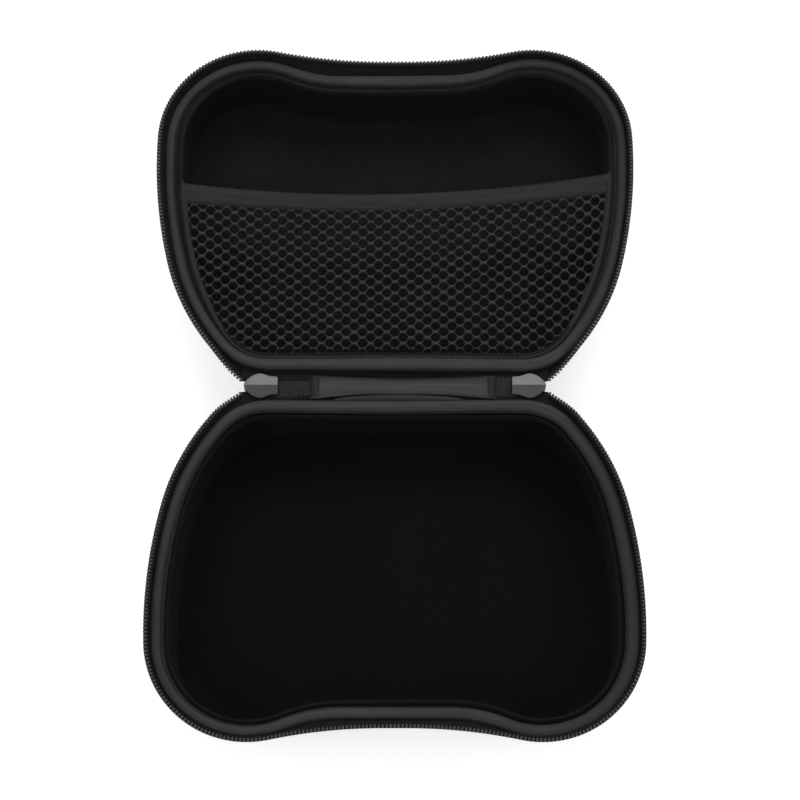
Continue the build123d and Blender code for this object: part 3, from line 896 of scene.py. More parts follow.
def flare_section(feet, coil):
    """Upper and lower faces of the flaring tape at each station, from its foot to the coil."""
    out = plan_outward(coil)
    rise = (coil[:, 2:] - CHAIN_Z) / (COIL_Z - CHAIN_Z)
    end = coil - out * (0.55 - 0.85 * rise) - rise * 0.5 * UP
    reach = end - feet
    level = np.linalg.norm(reach[:, :2], axis=1, keepdims=True)
    belly = FLARE_SAG * np.minimum(level, 3.0)
    upper = np.stack([feet + reach * t - belly * sin(pi * t) * UP for t in TAPE_CURVE], axis=1)
    normal = np.cross(np.gradient(upper, axis=0), np.gradient(upper, axis=1))
    normal /= np.linalg.norm(normal, axis=2, keepdims=True)
    normal *= np.sign(normal[:, :, 2:] + 1e-9)
    return upper, upper - normal * FLARE_T


# Leg of the tape outside the rim: distance out, height, and how far it follows the binding
TAPE_LEG = [
    (0.86, 25.95, 0), (1.0, 25.75, 0), (1.5, 25.85, 0), (1.52, 27.4, 0), (1.5, 28.6, 0.4),
    (1.35, 29.5, 0.95), (1.1, 29.85, 0.9), (0.9, 29.8, 0), (0.84, 28.4, 0), (0.82, 27.0, 0),
]


def zip_tape_piece(body, base, feet, coil):
    """The zip's tape: the leg sewn round the outside of the rim, and the flare up to the coil."""
    piece = Cloth()
    push = rim_sizes(body)[0] - BINDING_T
    columns = [at_rim(lean_out(out, z) + share * push, z) for out, z, share in TAPE_LEG]
    piece.band(columns, around(np.array(TAPE_LEG)[:, :2]))
    upper, lower = flare_section(feet, coil)
    section = np.concatenate([upper, lower[:, ::-1]], axis=1)
    piece.bar(section, lengths(feet), around(section[len(section) // 2]))
    piece.make(body + "_flared_tape", TAPE, body, "zip_tape", base, sharp=60,
               nodes=[body + "_zip_tape"])


TOOTH_PITCH = 1.42
# Plump tooth, from its sewn end out to its head: reach, half width, half height
TOOTH = [
    (-1.0, 0.2, 0.2), (-0.9, 0.34, 0.34), (-0.5, 0.42, 0.42), (0.0, 0.5, 0.5), (0.35, 0.54, 0.56),
    (0.62, 0.46, 0.48), (0.78, 0.28, 0.3), (0.83, 0.1, 0.1),
]
TOOTH_SIDES = 8
TOOTH_TWIST = 0.16
CORE_R = 0.3
SEWING_R = 0.26


def tooth_grids(coil):
    """One tooth of the coil at each step: teeth x stations x sides x 3."""
    spots, heading = evenly(coil, TOOTH_PITCH)
    side = np.column_stack([heading[:, 1], -heading[:, 0], np.zeros(len(spots))])
    side /= np.linalg.norm(side, axis=1, keepdims=True)
    up = np.cross(side, heading)
    angle = np.linspace(0, 2 * pi, TOOTH_SIDES, endpoint=False)
    shape = []
    for reach, wide, high in TOOTH:
        along = wide * np.cos(angle) + TOOTH_TWIST * reach
        shape.append(np.column_stack([np.full(TOOTH_SIDES, reach), along, high * np.sin(angle)]))
    shape = np.array(shape)
    basis = np.stack([side, heading, up], axis=1)
    return spots[:, None, None, :] + np.einsum("ijk,tkl->tijl", shape, basis)


def zip_coil_piece(body, base, coil):
    """Coil of plump nylon teeth on the tape's edge, with the sewing along their inner ends."""
    teeth = Cloth()
    for tooth in tooth_grids(coil):
        teeth.bar(tooth, np.arange(len(TOOTH)) * 0.3, np.arange(TOOTH_SIDES + 1) * 0.35)
    # The base's teeth take the nylon with painted shade
    teeth.make(body + "_coil_teeth", SHADED_BASE_NYLON if base else NYLON, body, "zip_coil", base,
               sharp=80, nodes=[body + "_zip_coil"])
    at = lengths(coil)
    fine = np.arange(0, at[-1], TOOTH_PITCH / 4)
    line = along_line(fine, at, coil)
    away = along_line(fine, at, plan_outward(coil))
    beat = np.cos(2 * pi * fine / TOOTH_PITCH)
    # The sewing is near black: real thread, with painted shade between the teeth
    sewing = Cloth()
    core = line - away * CORE_R
    sewing.bar(sweep(core, away, UP, ring(CORE_R, 6)), fine, np.arange(7) * 0.35)
    path = line - away * (0.86 + 0.1 * beat[:, None]) + np.outer(0.3 - 0.16 * beat, UP)
    sewing.bar(sweep(path, away, UP, ring(SEWING_R, 6, 0.8)), fine, np.arange(7) * 0.25)
    sewing.make(body + "_coil_sewing", COIL_THREAD_AND_SHADE, body, "zip_coil", base)


# Mesh pocket

def hem_curve(values, x):
    """Sagging line across the lid through its left, middle and right heights."""
    left, middle, right = values
    points = np.array([[-HEM_REACH, left], [HEM_MID_X, middle], [HEM_REACH, right]])
    matrix = np.column_stack([2 * points, np.ones(3)])
    cx, cy, c = np.linalg.solve(matrix, (points ** 2).sum(1))
    radius = (c + cx * cx + cy * cy) ** 0.5
    return cy - np.sqrt(radius ** 2 - (x - cx) ** 2)


POCKET_LOW_Y = 13.0
POCKET_HALF = 84.0
HEM_LOW = tuple(top - wide for top, wide in zip(HEM_TOP, HEM_WIDE))
NET_STEP_X = 6.1
NET_STEP_Y = 2.24
NET_HOLE = (1.78, 1.6)
HOLE_POWER = 1.7
NET_FIRST_Y = 12.2
NET_SAG = 1.0
NET_ROWS = range(-2, 34)
NET_COLUMNS = range(-16, 17)
NET_UNDER_HEM = 1.4
KNOT_R = 0.9
STRAND_HALF = 0.26
# Section of a strand from the cell's edge down into the hole: share of the way out to the
# edge, height, and distance from the crest for the cloth map
STRAND = [
    (1.0, -0.2, 1.6), (0.45, -0.32, 1.3), (0.0, -0.1, 0.6), (0.25, 0.16, 0.3),
    (0.6, 0.36, 0.1), (1.0, 0.44, 0.0),
]


def pocket_loop(tuck):
    """Loop at the pocket's height, a distance outside the inner edge of the lid's roll."""
    outer, crown, roll = rim_sizes("lid")
    return RIM + RIM_OUT * lean_out(outer - crown - roll + tuck, POCKET_Z)[:, None]


def within(loop, x, y):
    """Whether points lie inside a closed loop."""
    x = np.asarray(x)[..., None]
    y = np.asarray(y)[..., None]
    ax, ay = loop[:, 0], loop[:, 1]
    bx, by = np.roll(ax, -1), np.roll(ay, -1)
    crosses = ((ay > y) != (by > y)) & (x < (bx - ax) * (y - ay) / (by - ay + 1e-12) + ax)
    return crosses.sum(-1) % 2 == 1


def pocket_z(x, y):
    """Height of the net: held at the rim, slack towards the middle of the hem."""
    hem_y = hem_curve(HEM_TOP, x)
    forward = np.clip((y - POCKET_LOW_Y) / (hem_y - POCKET_LOW_Y), 0, 1.1)
    sideways = np.clip(1 - (x / POCKET_HALF) ** 2, 0, 1)
    return POCKET_Z - NET_SAG * sideways * np.sin(0.5 * pi * forward) ** 1.5


def net_warp(plan):
    """Stretches the flat net so that its rows run straight at the hinge and along the hem."""
    x, y = plan[..., 0], plan[..., 1]
    middle = hem_curve(HEM_LOW, HEM_MID_X) - NET_FIRST_Y
    pull = (hem_curve(HEM_LOW, x) - NET_FIRST_Y) / middle
    return np.stack([x, NET_FIRST_Y + (y - NET_FIRST_Y) * pull], -1)


def net_centres():
    """Centres of the net's holes before it is stretched: rows that step by half a pitch."""
    room = pocket_loop(0.3)
    spots = []
    for row in NET_ROWS:
        for column in NET_COLUMNS:
            across = NET_STEP_X * (column + 0.5 * (row % 2))
            spot = np.array([across, NET_FIRST_Y + NET_STEP_Y * row])
            x, y = net_warp(spot)
            if y < hem_curve(HEM_LOW, x) + NET_UNDER_HEM and within(room, x, y):
                spots.append(spot)
    return np.array(spots)


def net_cell():
    """Edge and hole of one cell of the flat net along its rays, and each ray's share of a knot."""
    step_x = NET_STEP_X / 2
    corner = atan(NET_STEP_Y * 2 * step_x / (step_x ** 2 - NET_STEP_Y ** 2))
    quarter = np.array([0, corner / 3, corner * 2 / 3, corner, pi / 2])
    turn = np.concatenate([quarter, pi - quarter[-2:0:-1]])
    angle = np.concatenate([turn, turn + pi])
    ray = np.stack([np.cos(angle), np.sin(angle)], 1)
    near = np.array([
        (step_x, NET_STEP_Y), (0, 2 * NET_STEP_Y), (-step_x, NET_STEP_Y),
        (-step_x, -NET_STEP_Y), (0, -2 * NET_STEP_Y), (step_x, -NET_STEP_Y),
    ])
    towards = ray @ near.T
    borders = (near ** 2).sum(axis=1) / 2 / np.maximum(towards, 1e-6)
    reach = borders.min(axis=1, keepdims=True)
    edge = ray * reach
    knots = np.array([(0, NET_STEP_Y), (step_x, 0), (0, -NET_STEP_Y), (-step_x, 0)])
    away = np.linalg.norm(edge[:, None, :] - knots[None, :, :], axis=2).min(axis=1)
    node = np.clip(1.3 - away / KNOT_R, 0, 1)
    size = (np.abs(ray / np.array(NET_HOLE)) ** HOLE_POWER).sum(axis=1, keepdims=True)
    hole = ray / size ** (1 / HOLE_POWER)
    room = reach - STRAND_HALF - 0.1 * node[:, None]
    hole = hole * np.minimum(1.0, room / np.linalg.norm(hole, axis=1, keepdims=True))
    return edge, hole, node


def net_piece():
    """Knitted net with a rounded strand round each of its holes, in cells that meet exactly."""
    edge, hole, node = net_cell()
    knot = np.append(node, node[0])
    depths = np.array([depth for _, _, depth in STRAND])
    rng = np.random.default_rng(5)
    piece = Cloth()
    for centre in net_centres():
        wobble = 1 + rng.uniform(-0.06, 0.04)
        drift = rng.uniform(-0.12, 0.12, 2)
        columns = []
        for share, lift, _ in STRAND:
            plan = net_warp((hole * wobble + drift) * (1 - share) + edge * share + centre)
            z = pocket_z(plan[:, 0], plan[:, 1]) + lift + 0.12 * node * (lift > 0.2)
            columns.append(np.column_stack([plan, z]))
        # The map's knot shares and distances from the crest place the net yarn's painted highlight
        piece.grid(np.stack(columns, axis=1), flat_map(knot, depths), wrap_rows=True)
    return piece.make("pocket_net", NET, "lid", "mesh_net", sharp=75, weld=True,
                      nodes=["mesh_panel"])


# Section of the hem: share of its width, and how far its crown rises there
HEM_SHARES = np.array([0.0, 0.06, 0.16, 0.32, 0.5, 0.68, 0.84, 0.94, 1.0])
HEM_CROWN = np.array([0.0, 0.42, 0.62, 0.66, 0.62, 0.66, 0.6, 0.4, 0.0])
HEM_SEAM_X = -8.5
HEM_STATIONS = 270


def hem_piece():
    """Band along the net's free edge: soft crown, shallow wrinkles and a seam."""
    right = loop_reach(pocket_loop(0.6), hem_curve(HEM_TOP, 80.0) - 4.0)
    x = right * np.linspace(-1.0, 1.0, HEM_STATIONS)
    top = hem_curve(HEM_TOP, x)
    low = hem_curve(HEM_LOW, x)
    at = lengths(np.column_stack([x, top]))
    seam = 1 - 0.8 * np.exp(-((x - HEM_SEAM_X) / 0.5) ** 2)
    upper = []
    lower = []
    for k, (share, crown) in enumerate(zip(HEM_SHARES, HEM_CROWN)):
        y = low + (top - low) * share
        wrinkle = 0.2 * uneven(at + 4 * k, 31 + k // 2, (23.0, 11.0, 7.0)) * (crown > 0)
        z = pocket_z(x, y) + 0.15
        upper.append(np.column_stack([x, y, z + (crown + wrinkle) * seam]))
        lower.append(np.column_stack([x, y, z - crown * 0.7]))
    section = np.stack(upper + lower[-2:0:-1], axis=1)
    piece = Cloth()
    piece.bar(section, at, around(section[len(x) // 2][:, 1:]))
    return piece.make("pocket_hem_band", HEM, "lid", "hem_band", sharp=70, nodes=["pocket_hem"])


def loop_reach(loop, y):
    """Widest x of a loop at a height y."""
    ahead = np.roll(loop, -1, axis=0)
    cut = (loop[:, 1] - y) * (ahead[:, 1] - y) <= 0
    t = (y - loop[cut, 1]) / (ahead[cut, 1] - loop[cut, 1] + 1e-12)
    return np.max(loop[cut, 0] + t * (ahead[cut, 0] - loop[cut, 0]))


EDGING_SECTION = np.array([
    (-0.5, 0.7), (0.0, 1.0), (0.6, 1.12), (1.2, 0.92), (1.7, 0.55), (1.95, 0.1),
    (1.8, -0.35), (1.0, -0.45), (0.0, -0.5), (-0.5, -0.3),
])


def edging_piece():
    """Rolled band that holds the net to the wall: full along the sides, thin along the back."""
    side = np.clip((RIM[:, 1] - 12.0) / 20.0, 0.0, 1.0)
    line = pocket_loop(0.9 + 1.3 * (1 - side))
    top = hem_curve(HEM_TOP, np.clip(line[:, 0], -99, 99)) + 1.0
    order = np.roll(np.arange(len(line)), len(line) // 2)
    order = order[(line[:, 1] < top)[order]]
    line = line[order]
    at = lengths(line)
    ends = np.clip(np.minimum(at, at[-1] - at) / 5.0, 0.15, 1)
    full = ends * (0.3 + 0.7 * side[order])
    sizes = np.stack([0.45 + 0.55 * full, 0.35 + 0.65 * full], 1)
    centres = np.column_stack([line, pocket_z(line[:, 0], line[:, 1]) + 0.1])
    inward = np.column_stack([-RIM_OUT[order], np.zeros(len(line))])
    piece = Cloth()
    piece.bar(sweep(centres, inward, UP, EDGING_SECTION * sizes[:, None, :]), at,
              around(EDGING_SECTION))
    return piece.make("pocket_side_edging", EDGING, "lid", "hem_band", sharp=70,
                      nodes=["pocket_edging"])


# Hinge cloth, strip and joined zip ends

HINGE_LOW = 27.9
CLOTH_REACH = 57.2
CLOTH_STATIONS = 191
CLOTH_T = 0.5
CLOTH_UP = 0.24
# Inner edge of the hinge cloth, clear of the slider's wedge all along its travel
OPENING_X = (46.2, 46.6, 47.6, 48.8, 57.2)
OPENING_Y = (0.0, 0.14, 1.16, 1.52, 2.12)
TRAVEL_FROM = 38.6


def cloth_edges(x):
    """Inner and outer edge of the hinge cloth: closed at the middle, parting at the sliders."""
    inner = np.interp(np.abs(x), OPENING_X, OPENING_Y)
    past = np.clip(np.abs(x) - BACK_FLAT, 0, None)
    radius = CORNER_R + BINDING_T
    outer = BACK_Y - BINDING_T - 0.1 + radius - np.sqrt(radius ** 2 - past ** 2)
    return inner, outer


def fold(piece, body, side):
    """Bakes a piece's placing into its mesh. Its body and side, 1 towards the lid and -1 to the
    base, are not used.
    """
    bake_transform(piece)


def hinge_cloth(body, base):
    """Half of the cloth at the hinge, from the middle to a half's rim, out past the sliders."""
    x = np.linspace(-CLOTH_REACH, CLOTH_REACH, CLOTH_STATIONS)
    inner, outer = cloth_edges(x)
    y = inner[:, None] + np.outer(outer - inner, np.linspace(0.0, 1.0, 26))
    gx = np.broadcast_to(x[:, None], y.shape)
    calm = np.clip((TRAVEL_FROM - np.abs(gx)) / 3.0, 0, 1)
    slack = 0.22 * np.sin(gx / 5.2 + y * 0.4) * np.exp(-((y - 4.6) / 1.6) ** 2)
    crease_y = 3.9 + 0.5 * (gx / 22.0) ** 2
    crease = 0.95 * np.exp(-((y - crease_y) / 0.36) ** 2) * np.exp(-(gx / 30.0) ** 4)
    trough = 0.4 * np.exp(-((y - 5.4) / 0.6) ** 2)
    z = CHAIN_Z + CLOTH_UP + (slack - trough - crease) * calm
    piece = Cloth()
    piece.slab(x, np.stack([gx, y, z], -1), z - CLOTH_T, len(x) // 2)
    cloth = piece.make("hinge_cloth_" + body, TAPE, None, "zip_tape", base, sharp=60)
    fold(cloth, body, -1 if base else 1)


def hinge_flap():
    """Lighter fold of cloth that shows between the strip and the base's rim."""
    x = np.linspace(-23.0, 26.0, 60)
    share = np.linspace(0.0, 1.0, 9)
    fade = np.clip(1 - ((x - 1.5) / 24.6) ** 2, 0.0, 1.0) ** 0.5
    inner = 5.6 - 2.15 * fade
    y = inner[:, None] + np.outer(6.5 - inner, share)
    z = 28.45 + 0.75 * np.outer(fade, np.sin(pi * (0.15 + 0.85 * share)))
    z = z + 0.1 * uneven(x, 77, (13.0, 8.0, 21.0))[:, None]
    top = np.stack([np.broadcast_to(x[:, None], y.shape), y, z], -1)
    piece = Cloth()
    piece.slab(x, top, HINGE_LOW, len(x) // 2)
    fold(piece.make("hinge_flap", FLAP, None, "zip_tape", base=True, sharp=60), "base", -1)


def strip_half(x):
    """Half width of the strip along it: full at its ends, drawn in at the middle."""
    share = (x - STRIP_MIDDLE) / (STRIP_RIGHT - STRIP_MIDDLE)
    return STRIP_MID_HALF + (STRIP_END_HALF - STRIP_MID_HALF) * share ** 2


SEAMS = (STRIP_LEFT + 0.3, STRIP_LEFT + 2.8, STRIP_RIGHT - 2.8, STRIP_RIGHT - 0.3)
STRIP_SHARES = np.array([
    -1, -0.96, -0.86, -0.68, -0.45, -0.2, 0.05, 0.3, 0.52, 0.72, 0.88, 0.96, 1.0,
])
THREAD_ROUND = np.arange(6) * 0.2


def strip_piece():
    """Ribbon stitched over the hinge, gathered by a seam at each side of its bar tacks."""
    x = np.linspace(STRIP_LEFT - 0.3, STRIP_RIGHT + 0.3, 190)
    from_end = np.minimum(x - x[0], x[-1] - x)
    half = strip_half(x) - 0.25 * np.clip(1 - from_end / 1.6, 0, 1) ** 2
    sway = 0.22 * uneven(x, 90, (70.0, 31.0))
    y = np.outer(half, STRIP_SHARES) + sway[:, None] - 0.2
    crown = 0.75 * (1 - np.abs(STRIP_SHARES) ** 2.4)
    folds = np.stack([uneven(x, 60 + k, (41.0, 17.0, 9.0)) for k in range(len(STRIP_SHARES))], 1)
    shut = np.clip(from_end / 0.7, 0, 1)[:, None]
    z = 28.25 + 0.45 * shut + shut * (crown + 0.16 * folds * (np.abs(STRIP_SHARES) < 0.9))
    for seam in SEAMS:
        z = z - 0.6 * np.outer(np.exp(-((x - seam) / 0.34) ** 2), 0.2 + crown)
    piece = Cloth()
    piece.slab(x, np.stack([np.broadcast_to(x[:, None], y.shape), y, z], -1), HINGE_LOW, 0)
    piece.make("hinge_ribbon", RIBBON, "spine", "strip_tape", sharp=70,
               nodes=["hinge_strip", "hinge_panel"])


def strip_seams():
    """Rows of stitches that gather the ribbon."""
    t = np.linspace(0, 1, 6)
    piece = Cloth()
    for seam in SEAMS:
        reach = strip_half(seam) - 0.5
        for y in np.arange(-reach, reach - 0.6, 1.25):
            lift = 28.78 + 0.3 * (1 - (y / reach) ** 2) + 0.16 * np.sin(pi * t)
            path = np.column_stack([np.full(6, seam), y + 0.95 * t - 0.2, lift])
            piece.bar(tube(path, 0.16, 5), t, THREAD_ROUND)
    piece.make("hinge_ribbon_seams", DARK_THREAD, "spine", "strip_tape")


# Section of the joined tapes, and the closed coil's ridges on them
JOINED_SECTION = np.array([
    (-4.2, 27.95), (-4.2, 27.7), (4.2, 27.7), (4.2, 27.95), (2.3, 28.12), (-2.3, 28.12),
])
RIDGE_PITCH = 1.3
RIDGE_FIRST = 0.95
RIDGE_R = 0.88
RIDGE_FLAT = 0.41
RIDGE_SINK = 0.36


def zip_end(name, node, start, end, shift, half):
    """Joined end of the zip: two tapes and the closed coil, which shows as soft ridges."""
    x = np.linspace(start, end, 24)
    section = np.stack([np.column_stack([np.full(6, value), JOINED_SECTION]) for value in x])
    tapes = Cloth()
    tapes.bar(section, x, JOINED_SECTION)
    tapes.make(name + "_tape", TAPE, "spine", "zip_tape")
    inward = 1 if start > end else -1
    places = end + inward * np.arange(RIDGE_FIRST, abs(start - end), RIDGE_PITCH)
    share = np.linspace(-1.0, 1.0, 13)
    y = shift + half * share
    top = 28.4 + 0.3 * np.clip((2.4 - np.abs(y)) / 0.7, 0, 1) - 0.08 * share ** 8
    ridges = Cloth()
    for k, place in enumerate(places):
        bend = 0.16 * np.sin(1.7 * k + 2.0 * share)
        path = np.column_stack([place + bend, y, top - RIDGE_SINK])
        ridges.bar(sweep(path, ALONG, UP, ring(RIDGE_R, 10, RIDGE_FLAT)), share,
                   np.arange(11) * 0.36)
    ridges.make(name + "_chain", CLOSED_NYLON, "spine", "zip_coil", nodes=[node])


TACK_HALF = 3.9


def tack(name, node, x):
    """Dense bar of stitches across the strip's end."""
    t = np.linspace(-0.5, 0.5, 5)
    piece = Cloth()
    for k, y in enumerate(np.arange(-TACK_HALF, TACK_HALF, 0.34)):
        lean = 0.2 if k % 2 else -0.2
        lift = 28.86 + 0.5 * (1 - (y / TACK_HALF) ** 2) + 0.28 * (1 - (2 * t) ** 2)
        path = np.column_stack([x + 1.5 * t, y + lean * t, lift])
        piece.bar(tube(path, 0.17, 5), t, THREAD_ROUND)
    piece.make(name, BAR_THREAD, "spine", "strip_tape", nodes=[node])


# Sliders and pulls

# Half plan of a slider from its tail to its nose: shares of its length and of its half width
SLIDER_PLAN = np.array([
    (0.0, 0.0), (0.0, 0.4), (0.006, 0.66), (0.03, 0.72), (0.1, 0.735), (0.2, 0.755),
    (0.29, 0.815), (0.37, 0.9), (0.45, 0.975), (0.53, 1.0), (0.62, 0.965), (0.72, 0.86),
    (0.81, 0.72), (0.89, 0.53), (0.95, 0.34), (0.985, 0.18), (1.0, 0.0),
])
RIDGE_DOWN = 0.75
SLIDER_RIDGE = 0.95
TOP_EDGE_R = 0.25
LOW_EDGE_R = 0.4
LIP_T = 0.75
LIP_H = 0.75
LIP_SINK = 0.15
LIP_FROM_MIDDLE = 2.6
LIP_END = 53.2
WEDGE = np.array([
    (51.2, 0.0), (52.2, 0.95), (53.4, 1.3), (55.6, 0.0), (53.4, -1.3), (52.2, -0.95),
])
# Bail: half of its line, from a foot to its middle (along the slider, and height), and section
BAIL_HALF = [(-3.4, 0.4), (-3.35, -0.6), (-3.0, -1.5), (-2.0, -2.1), (0.0, -2.35)]
BAIL_SECTION = np.array([
    (-1.1, -0.2), (-0.9, -0.42), (0.9, -0.42), (1.1, -0.2),
    (1.1, 0.2), (0.9, 0.42), (-0.9, 0.42), (-1.1, 0.2),
])


def mirrored(half):
    """Line of pairs carried on past its last point, with the first values turned about."""
    return half + [(-x, z) for x, z in half[-2::-1]]


def slider_outline():
    """Closed plan of the right slider."""
    x = SLIDER_TAIL + (SLIDER_NOSE - SLIDER_TAIL) * SLIDER_PLAN[:, 0]
    upper = np.column_stack([x, SLIDER_HALF * SLIDER_PLAN[:, 1]])
    lower = (upper[1:-1] * [1, -1])[::-1]
    return np.concatenate([upper, lower])[::-1]


def pillow(piece, plan, low, high, edge, ridge=0.0):
    """Plate over a plan with rounded edges; ridge raises a soft spine along its middle."""
    middle = np.array([plan[:, 0].mean(), 0.0])
    half = np.abs(plan[:, 1]).max()
    rings = [(1 - edge * (1 - cos(turn)) / half, sin(turn)) for turn in np.linspace(0, pi / 2, 9)]
    rings += [(size * (1 - edge / half), 1.0) for size in (0.66, 0.33, 0.0)]
    faces = []
    for side, face, spine in ((1, high, ridge), (-1, low, 0.0)):
        columns = []
        for size, rise in rings:
            flat = middle + (plan - middle) * size
            roof = spine * (1 - np.abs(flat[:, 1]) / half) * rise
            columns.append(np.column_stack([flat, face - side * edge * (1 - rise) + roof]))
        faces.append(np.stack(columns, axis=1))
    points = np.concatenate([faces[0][:, ::-1], faces[1]], axis=1)
    piece.grid(points, np.concatenate([points, points[:1]])[:, :, :2], wrap_rows=True)


def slider_lips(piece, plan):
    """Lips at a slider's sides, from its tail to its shoulders, on both its plates."""
    inner_y = np.sign(plan[:, 1]) * np.maximum(np.abs(plan[:, 1]) - LIP_T, 0)
    for plate, way in ((SLIDER_HIGH - PLATE_T, -1), (SLIDER_LOW + PLATE_T, 1)):
        z0, z1 = sorted((plate - way * LIP_SINK, plate + way * LIP_H))
        for wing in (1, -1):
            rows = np.flatnonzero((plan[:, 1] * wing > LIP_FROM_MIDDLE) & (plan[:, 0] < LIP_END))
            rows = rows[np.argsort(plan[rows, 0], kind="stable")]
            x = plan[rows, 0]
            y = plan[rows, 1] - wing * 0.12
            corners = ((y, z0), (y, z1), (inner_y[rows], z1), (inner_y[rows], z0))
            points = [np.column_stack([x, side, np.full(len(x), z)]) for side, z in corners]
            piece.bar(np.stack(points, axis=1), np.arange(len(x)), np.arange(5) * 0.8)


def slider_piece(side, body):
    """Slider: two rounded plates, side lips, a wedge and a bail under it."""
    plan = slider_outline()
    piece = Cloth()
    shoulder = SLIDER_HIGH - RIDGE_DOWN
    pillow(piece, plan, SLIDER_HIGH - PLATE_T, shoulder, TOP_EDGE_R, ridge=SLIDER_RIDGE)
    pillow(piece, plan, SLIDER_LOW, SLIDER_LOW + PLATE_T, LOW_EDGE_R)
    slider_lips(piece, plan)
    pillow(piece, WEDGE, SLIDER_LOW + 0.5, SLIDER_HIGH - 0.6, 0.15)
    bail = np.array([(BAIL_X + x, 0, SLIDER_LOW + z) for x, z in mirrored(BAIL_HALF)])
    ahead = np.gradient(bail, axis=0)
    ahead /= np.linalg.norm(ahead, axis=1, keepdims=True)
    grid = sweep(bail, ACROSS, np.cross(ahead, ACROSS), BAIL_SECTION)
    piece.bar(grid, lengths(bail), BAIL_SECTION)
    for block in piece.points:
        block[:, 0] *= side
    piece.make(body + "_body", COAT, body, "slider_metal", sharp=16, weld=True, nodes=[body])


# Half of the pull's edge from an arm's top to its end, and its slot: across it, and height
PULL_EDGE = [(-2.9, 1.0), (-2.9, -18.4), (-2.6, -19.3), (-1.9, -19.85), (-1.0, -20.0), (0.0, -20.0)]
PULL_SLOT = [(-1.65, 1.0), (-1.65, -5.2), (-1.25, -5.8), (1.25, -5.8), (1.65, -5.2), (1.65, 1.0)]
PULL_HALF_T = 0.6
PULL_BEVEL = 0.16
PIN_HALF = 2.3
PIN_R = 0.6
PIN_Z = SLIDER_LOW - 0.95


def pull_plate(loop):
    """Bevelled plate over a loop of (y, z) points, thick across X."""
    towards = loop.mean(0) - loop
    inset = loop + towards / np.linalg.norm(towards, axis=1, keepdims=True) * PULL_BEVEL
    flat_half = PULL_HALF_T - PULL_BEVEL
    places = ((-PULL_HALF_T, inset), (-flat_half, loop), (flat_half, loop), (PULL_HALF_T, inset))
    return np.stack([np.column_stack([np.full(len(line), x), line]) for x, line in places])


def pull_piece(side, lean, body):
    """Pull: a tab with a slot near its end, two arms and a cross pin."""
    loop = np.array(mirrored(PULL_EDGE) + PULL_SLOT[::-1])
    piece = Cloth()
    piece.bar(pull_plate(loop), np.arange(4) * 0.4, loop)
    y = np.linspace(-PIN_HALF, PIN_HALF, 5)
    piece.bar(sweep(np.outer(y, ACROSS), ALONG, UP, ring(PIN_R, 10)), y, np.arange(11) * 0.4)
    for block in piece.points:
        x = block[:, 0] * cos(lean) - block[:, 2] * sin(lean)
        z = block[:, 0] * sin(lean) + block[:, 2] * cos(lean)
        block[:, 0] = side * (x + BAIL_X)
        block[:, 2] = z + PIN_Z
    piece.make(body + "_tab", COAT, body, "slider_metal", sharp=35, nodes=[body])


# Assembly

for half_body, is_base in (("lid", False), ("base", True)):
    shells(half_body, is_base)
    rim_binding(half_body, is_base)
    rim_roll(half_body, is_base)
    rim_stitches(half_body, is_base)
    sewn_line, coil_line = zip_lines(half_body)
    zip_tape_piece(half_body, is_base, sewn_line, coil_line)
    zip_coil_piece(half_body, is_base, coil_line)

net = net_piece()
hem = hem_piece()
edging = edging_piece()

hinge_cloth("lid", False)
hinge_cloth("base", True)
hinge_flap()
strip_piece()
strip_seams()
zip_end("left_joined_end", "left_zip_end", STRIP_LEFT + END_TUCK, -STUB_END, -1.1, 3.1)
zip_end("right_joined_end", "right_zip_end", STRIP_RIGHT - END_TUCK, STUB_END, -0.2, 3.8)
tack("left_stitch_bar", "left_bar_tack", STRIP_LEFT + TACK_IN)
tack("right_stitch_bar", "right_bar_tack", STRIP_RIGHT - TACK_IN)
slider_piece(-1, "left_slider")
slider_piece(1, "right_slider")
pull_piece(-1, 0.0, "left_pull")
pull_piece(1, RIGHT_PULL_LEAN, "right_pull")


# Floor, light and camera

FLOOR_HALF = 3.0
FLOOR_Z = -0.05 * MM
FLOOR_GLOW = 0.6
WORLD_LEVEL = 0.6
# Softboxes: place and size in metres, and power
LIGHTS = {
    "far_softbox": ((0.1, 0.95, 1.15), (1.4, 0.6), 9.0),
    "left_softbox": ((-1.0, -0.5, 1.2), (0.9, 0.9), 3.0),
    "right_softbox": ((1.2, -0.3, 0.9), (0.8, 0.8), 2.5),
}
LIGHT_AIM = Vector((0, 0, 0.02))
CAMERA_ELEVATION = radians(72.0)
CAMERA_AIM = Vector((1.9, -6.2, 31.0)) * MM
CAMERA_AWAY = 1.04
CAMERA_LENS = 126.0


def floor_material():
    """Pale floor: the camera sees it as white, and it keeps the object's shadow."""
    f = Finish("floor_paper")
    colour = f.mix(f.noise(3, 2), (0.80, 0.80, 0.80, 1), (0.82, 0.82, 0.82, 1))
    f.done(colour, 0.9, f.bump(f.noise(40, 2), 0.0005, 0.1))
    path = f.node("ShaderNodeLightPath")
    seen = f.math("MAXIMUM", path.outputs["Is Camera Ray"], path.outputs["Is Glossy Ray"])
    glow = f.node("ShaderNodeEmission")
    f.feed(glow.inputs["Strength"], f.math("MULTIPLY", seen, FLOOR_GLOW))
    both = f.node("ShaderNodeAddShader")
    f.tree.links.new(f.shader.outputs[0], both.inputs[0])
    f.tree.links.new(glow.outputs[0], both.inputs[1])
    f.tree.links.new(both.outputs[0], f.tree.nodes["Material Output"].inputs["Surface"])
    return f.material


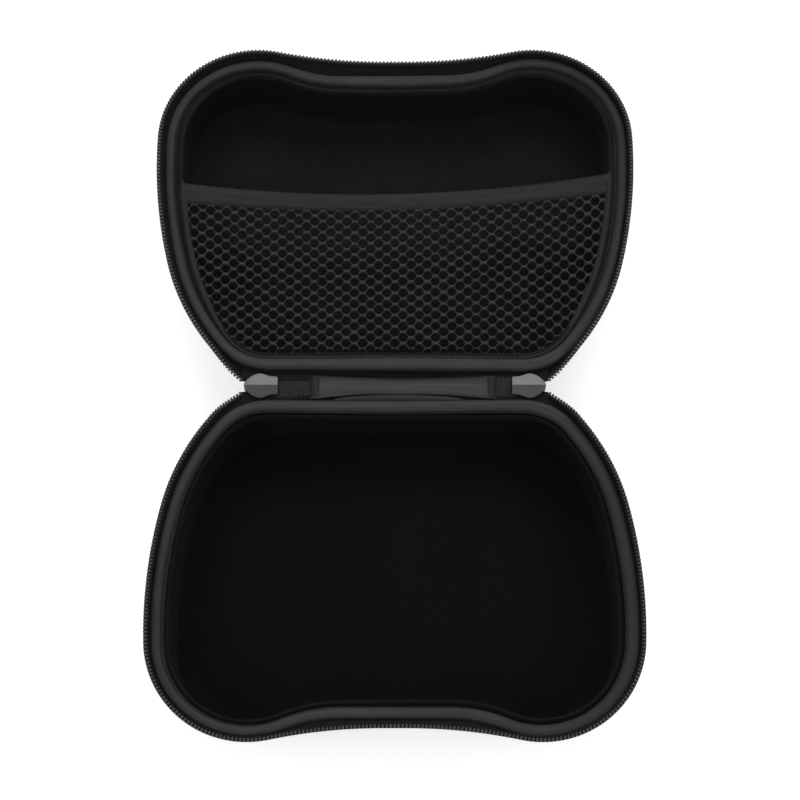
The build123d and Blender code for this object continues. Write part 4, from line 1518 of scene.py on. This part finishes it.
def add_floor():
    """Plain floor, a hair under the object."""
    corners = [(-1, -1), (1, -1), (1, 1), (-1, 1)]
    mesh = bpy.data.meshes.new("floor")
    points = [(x * FLOOR_HALF, y * FLOOR_HALF, FLOOR_Z) for x, y in corners]
    mesh.from_pydata(points, [], [(0, 1, 2, 3)])
    mesh.uv_layers.new(name=CLOTH_MAP)
    mesh.materials.append(floor_material())
    floor = bpy.data.objects.new("floor", mesh)
    bpy.context.scene.collection.objects.link(floor)


def add_world():
    """White to the camera and through glass, soft grey as a light."""
    world = bpy.data.worlds.new("studio")
    bpy.context.scene.world = world
    world.use_nodes = True
    tree = world.node_tree
    path = tree.nodes.new("ShaderNodeLightPath")
    both = tree.nodes.new("ShaderNodeMath")
    both.operation = "MAXIMUM"
    tree.links.new(path.outputs["Is Camera Ray"], both.inputs[0])
    tree.links.new(path.outputs["Is Transmission Ray"], both.inputs[1])
    level = tree.nodes.new("ShaderNodeMapRange")
    level.inputs["To Min"].default_value = WORLD_LEVEL
    level.inputs["To Max"].default_value = 1.0
    tree.links.new(both.outputs[0], level.inputs["Value"])
    back = tree.nodes["Background"]
    back.inputs["Color"].default_value = (1, 1, 1, 1)
    tree.links.new(level.outputs[0], back.inputs["Strength"])


def area_light(name, place, size, power):
    """Softbox turned towards the object."""
    lamp = bpy.data.lights.new(name, "AREA")
    lamp.shape = "RECTANGLE"
    lamp.size, lamp.size_y = size
    lamp.energy = power
    holder = bpy.data.objects.new(name, lamp)
    holder.location = place
    holder.rotation_euler = (LIGHT_AIM - Vector(place)).to_track_quat("-Z", "Y").to_euler()
    bpy.context.scene.collection.objects.link(holder)


def add_camera():
    """Camera where the photograph was taken from: 18 degrees from straight above."""
    camera = bpy.data.cameras.new("camera")
    camera.sensor_width = 36.0
    camera.lens = CAMERA_LENS
    camera.clip_start = 0.05
    holder = bpy.data.objects.new("camera", camera)
    back = Vector((0, -cos(CAMERA_ELEVATION), sin(CAMERA_ELEVATION)))
    holder.location = CAMERA_AIM + back * CAMERA_AWAY
    holder.rotation_euler = (pi / 2 - CAMERA_ELEVATION, 0, 0)
    bpy.context.scene.collection.objects.link(holder)
    bpy.context.scene.camera = holder


add_floor()
add_world()
for light_name, light in LIGHTS.items():
    area_light(light_name, *light)
add_camera()
bpy.context.scene.view_settings.view_transform = "Standard"
